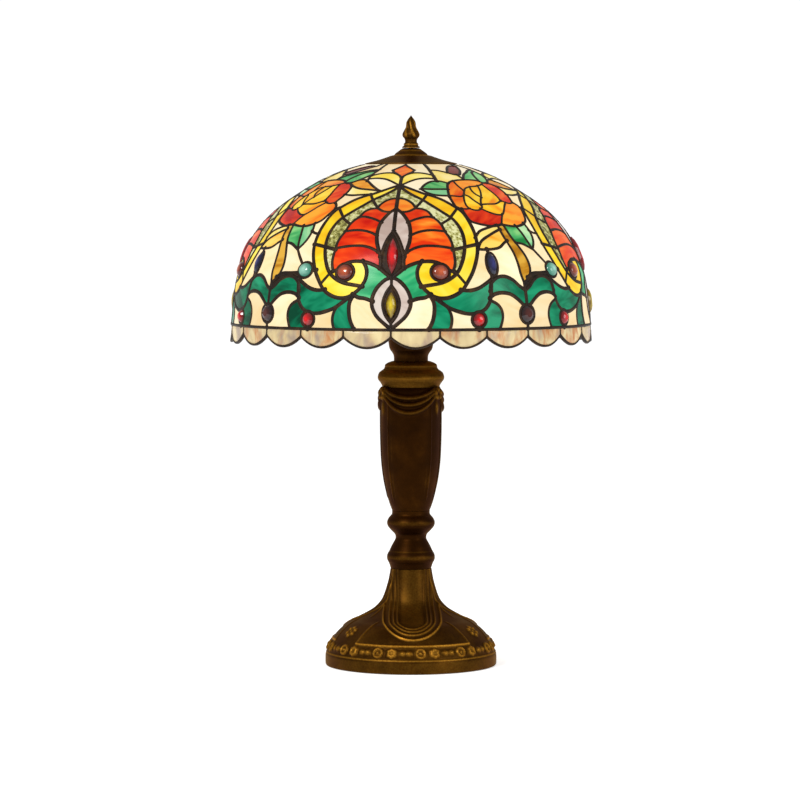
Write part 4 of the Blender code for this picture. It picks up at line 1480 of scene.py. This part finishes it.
def build_cluster_cover(bronze):
    """The bronze dome between the hub of the cluster and the neck cup."""
    cover = [
        (9.5, 400.2), (13.4, 397.6), (18, 393.8), (22.4, 390.8), (26, 388), (28.8, 385), (30.2, 382),
        (30.2, 380.3),
    ]
    inside = [(BORE, 400.2), (BORE, 396.4), (10.5, 395.4), (25, 386.4), (28.4, 380.3)]
    edges = plain_relief([(389, 1.5, 0.2)])
    cast(bronze, "cluster_dome", "stand", "cluster_cover", cover, inside, edges, 144)


def build_bulb(side, word, glass):
    outline = [
        (0, 155), (7, 154.4), (15, 151.5), (21, 147), (25.5, 141), (29, 133), (30, 125), (29.2, 117),
        (26.5, 108), (22, 100.5), (17.5, 94.5), (14.4, 90), (12.8, 86), (11.9, 81.5), (11.8, 72), (0, 72),
    ]
    place, name, node = holder_frame(side), "frosted_bulb_" + word, "bulb_glass_" + word
    turned_piece(name, outline, 48, place, glass, "bulb_" + word, "bulb_glass", node, None)


def build_chain(side, word, brass):
    """A ball chain of round beads on a thin wire, with a turned bell at its end."""
    place = Matrix.Translation((side * CHAIN_X * MM, 0, 0))
    chain = Parts()
    wire = [(0, CHAIN_TOP), (LINK_R, CHAIN_TOP - 0.1), (LINK_R, CHAIN_END), (0, CHAIN_END - 0.1)]
    add_turned(chain, wire, 8, place)
    for number in range(int((CHAIN_TOP - CHAIN_END) / BEAD_PITCH)):
        middle = CHAIN_TOP - BEAD_R - BEAD_PITCH * number
        arc = [(math.sin(math.pi * i / 8), math.cos(math.pi * i / 8)) for i in range(1, 8)]
        bead = [(BEAD_R * x, middle + BEAD_R * y) for x, y in arc]
        add_turned(chain, [(0, middle + BEAD_R), *bead, (0, middle - BEAD_R)], 12, place)
    body = "switch_" + word
    place_piece(chain.build("ball_chain_" + word, brass), body, "aged_brass", "pull_chain_" + word)
    bell = [
        (0, 365.9), (0.9, 365.8), (1.6, 365.3), (1.7, 364.6), (1.2, 364), (1.4, 363.4), (2.3, 362.6),
        (2.8, 361.2), (3.2, 359.8), (4.1, 358.6), (4.4, 357.6), (4.3, 356.8), (3.4, 356.3), (2, 355.9),
        (0, 355.7),
    ]
    turned_piece("chain_bell_" + word, bell, 28, place, brass, body, "aged_brass", "pull_bell_" + word, None)


def build_fittings(lead, bronze):
    """The brass, bulbs and chains inside the shade, and a material for each CAD node shown as packed."""
    brass = plain_metal("tarnished_brass", (150, 112, 52), (206, 166, 92), 0.34)
    bulb = lit_bulb_glass()
    paints = {
        "antique_bronze": bronze,
        "aged_brass": brass,
        "zinc_steel": plain_metal("zinc_plate", (148, 150, 150), (196, 198, 196), 0.36),
        "green_felt": matt_stuff("wool_felt", (20, 62, 38), (48, 104, 68), 900, 0.95, 0.0008),
        "black_rubber": matt_stuff("soft_rubber", (24, 24, 24), (46, 45, 44), 500, 0.7, 0.0002),
        "black_phenolic": matt_stuff("moulded_phenolic", (20, 16, 14), (44, 36, 30), 260, 0.4, 0.0001),
        "wire_insulation": matt_stuff("wire_cover", (36, 32, 26), (64, 58, 46), 400, 0.5, 0.0001),
        "bulb_glass": bulb,
        "solder": lead,
    }
    build_riser(brass)
    build_cluster_cover(bronze)
    for side, word in ((-1, "left"), (1, "right")):
        build_holder(side, word, brass)
        build_bulb(side, word, bulb)
        build_chain(side, word, brass)
    for node in frame["nodes"].values():
        if not node.hide_render:
            for slot in node.material_slots:
                slot.material = paints[slot.material.name]


add_camera()
add_studio()
LEAD = patinated_lead()
BRONZE = rubbed_bronze()
LUCK = random.Random(11)
build_shade(LEAD, LUCK)
build_skirt(LEAD, LUCK)
build_castings(BRONZE)
build_fittings(LEAD, BRONZE)
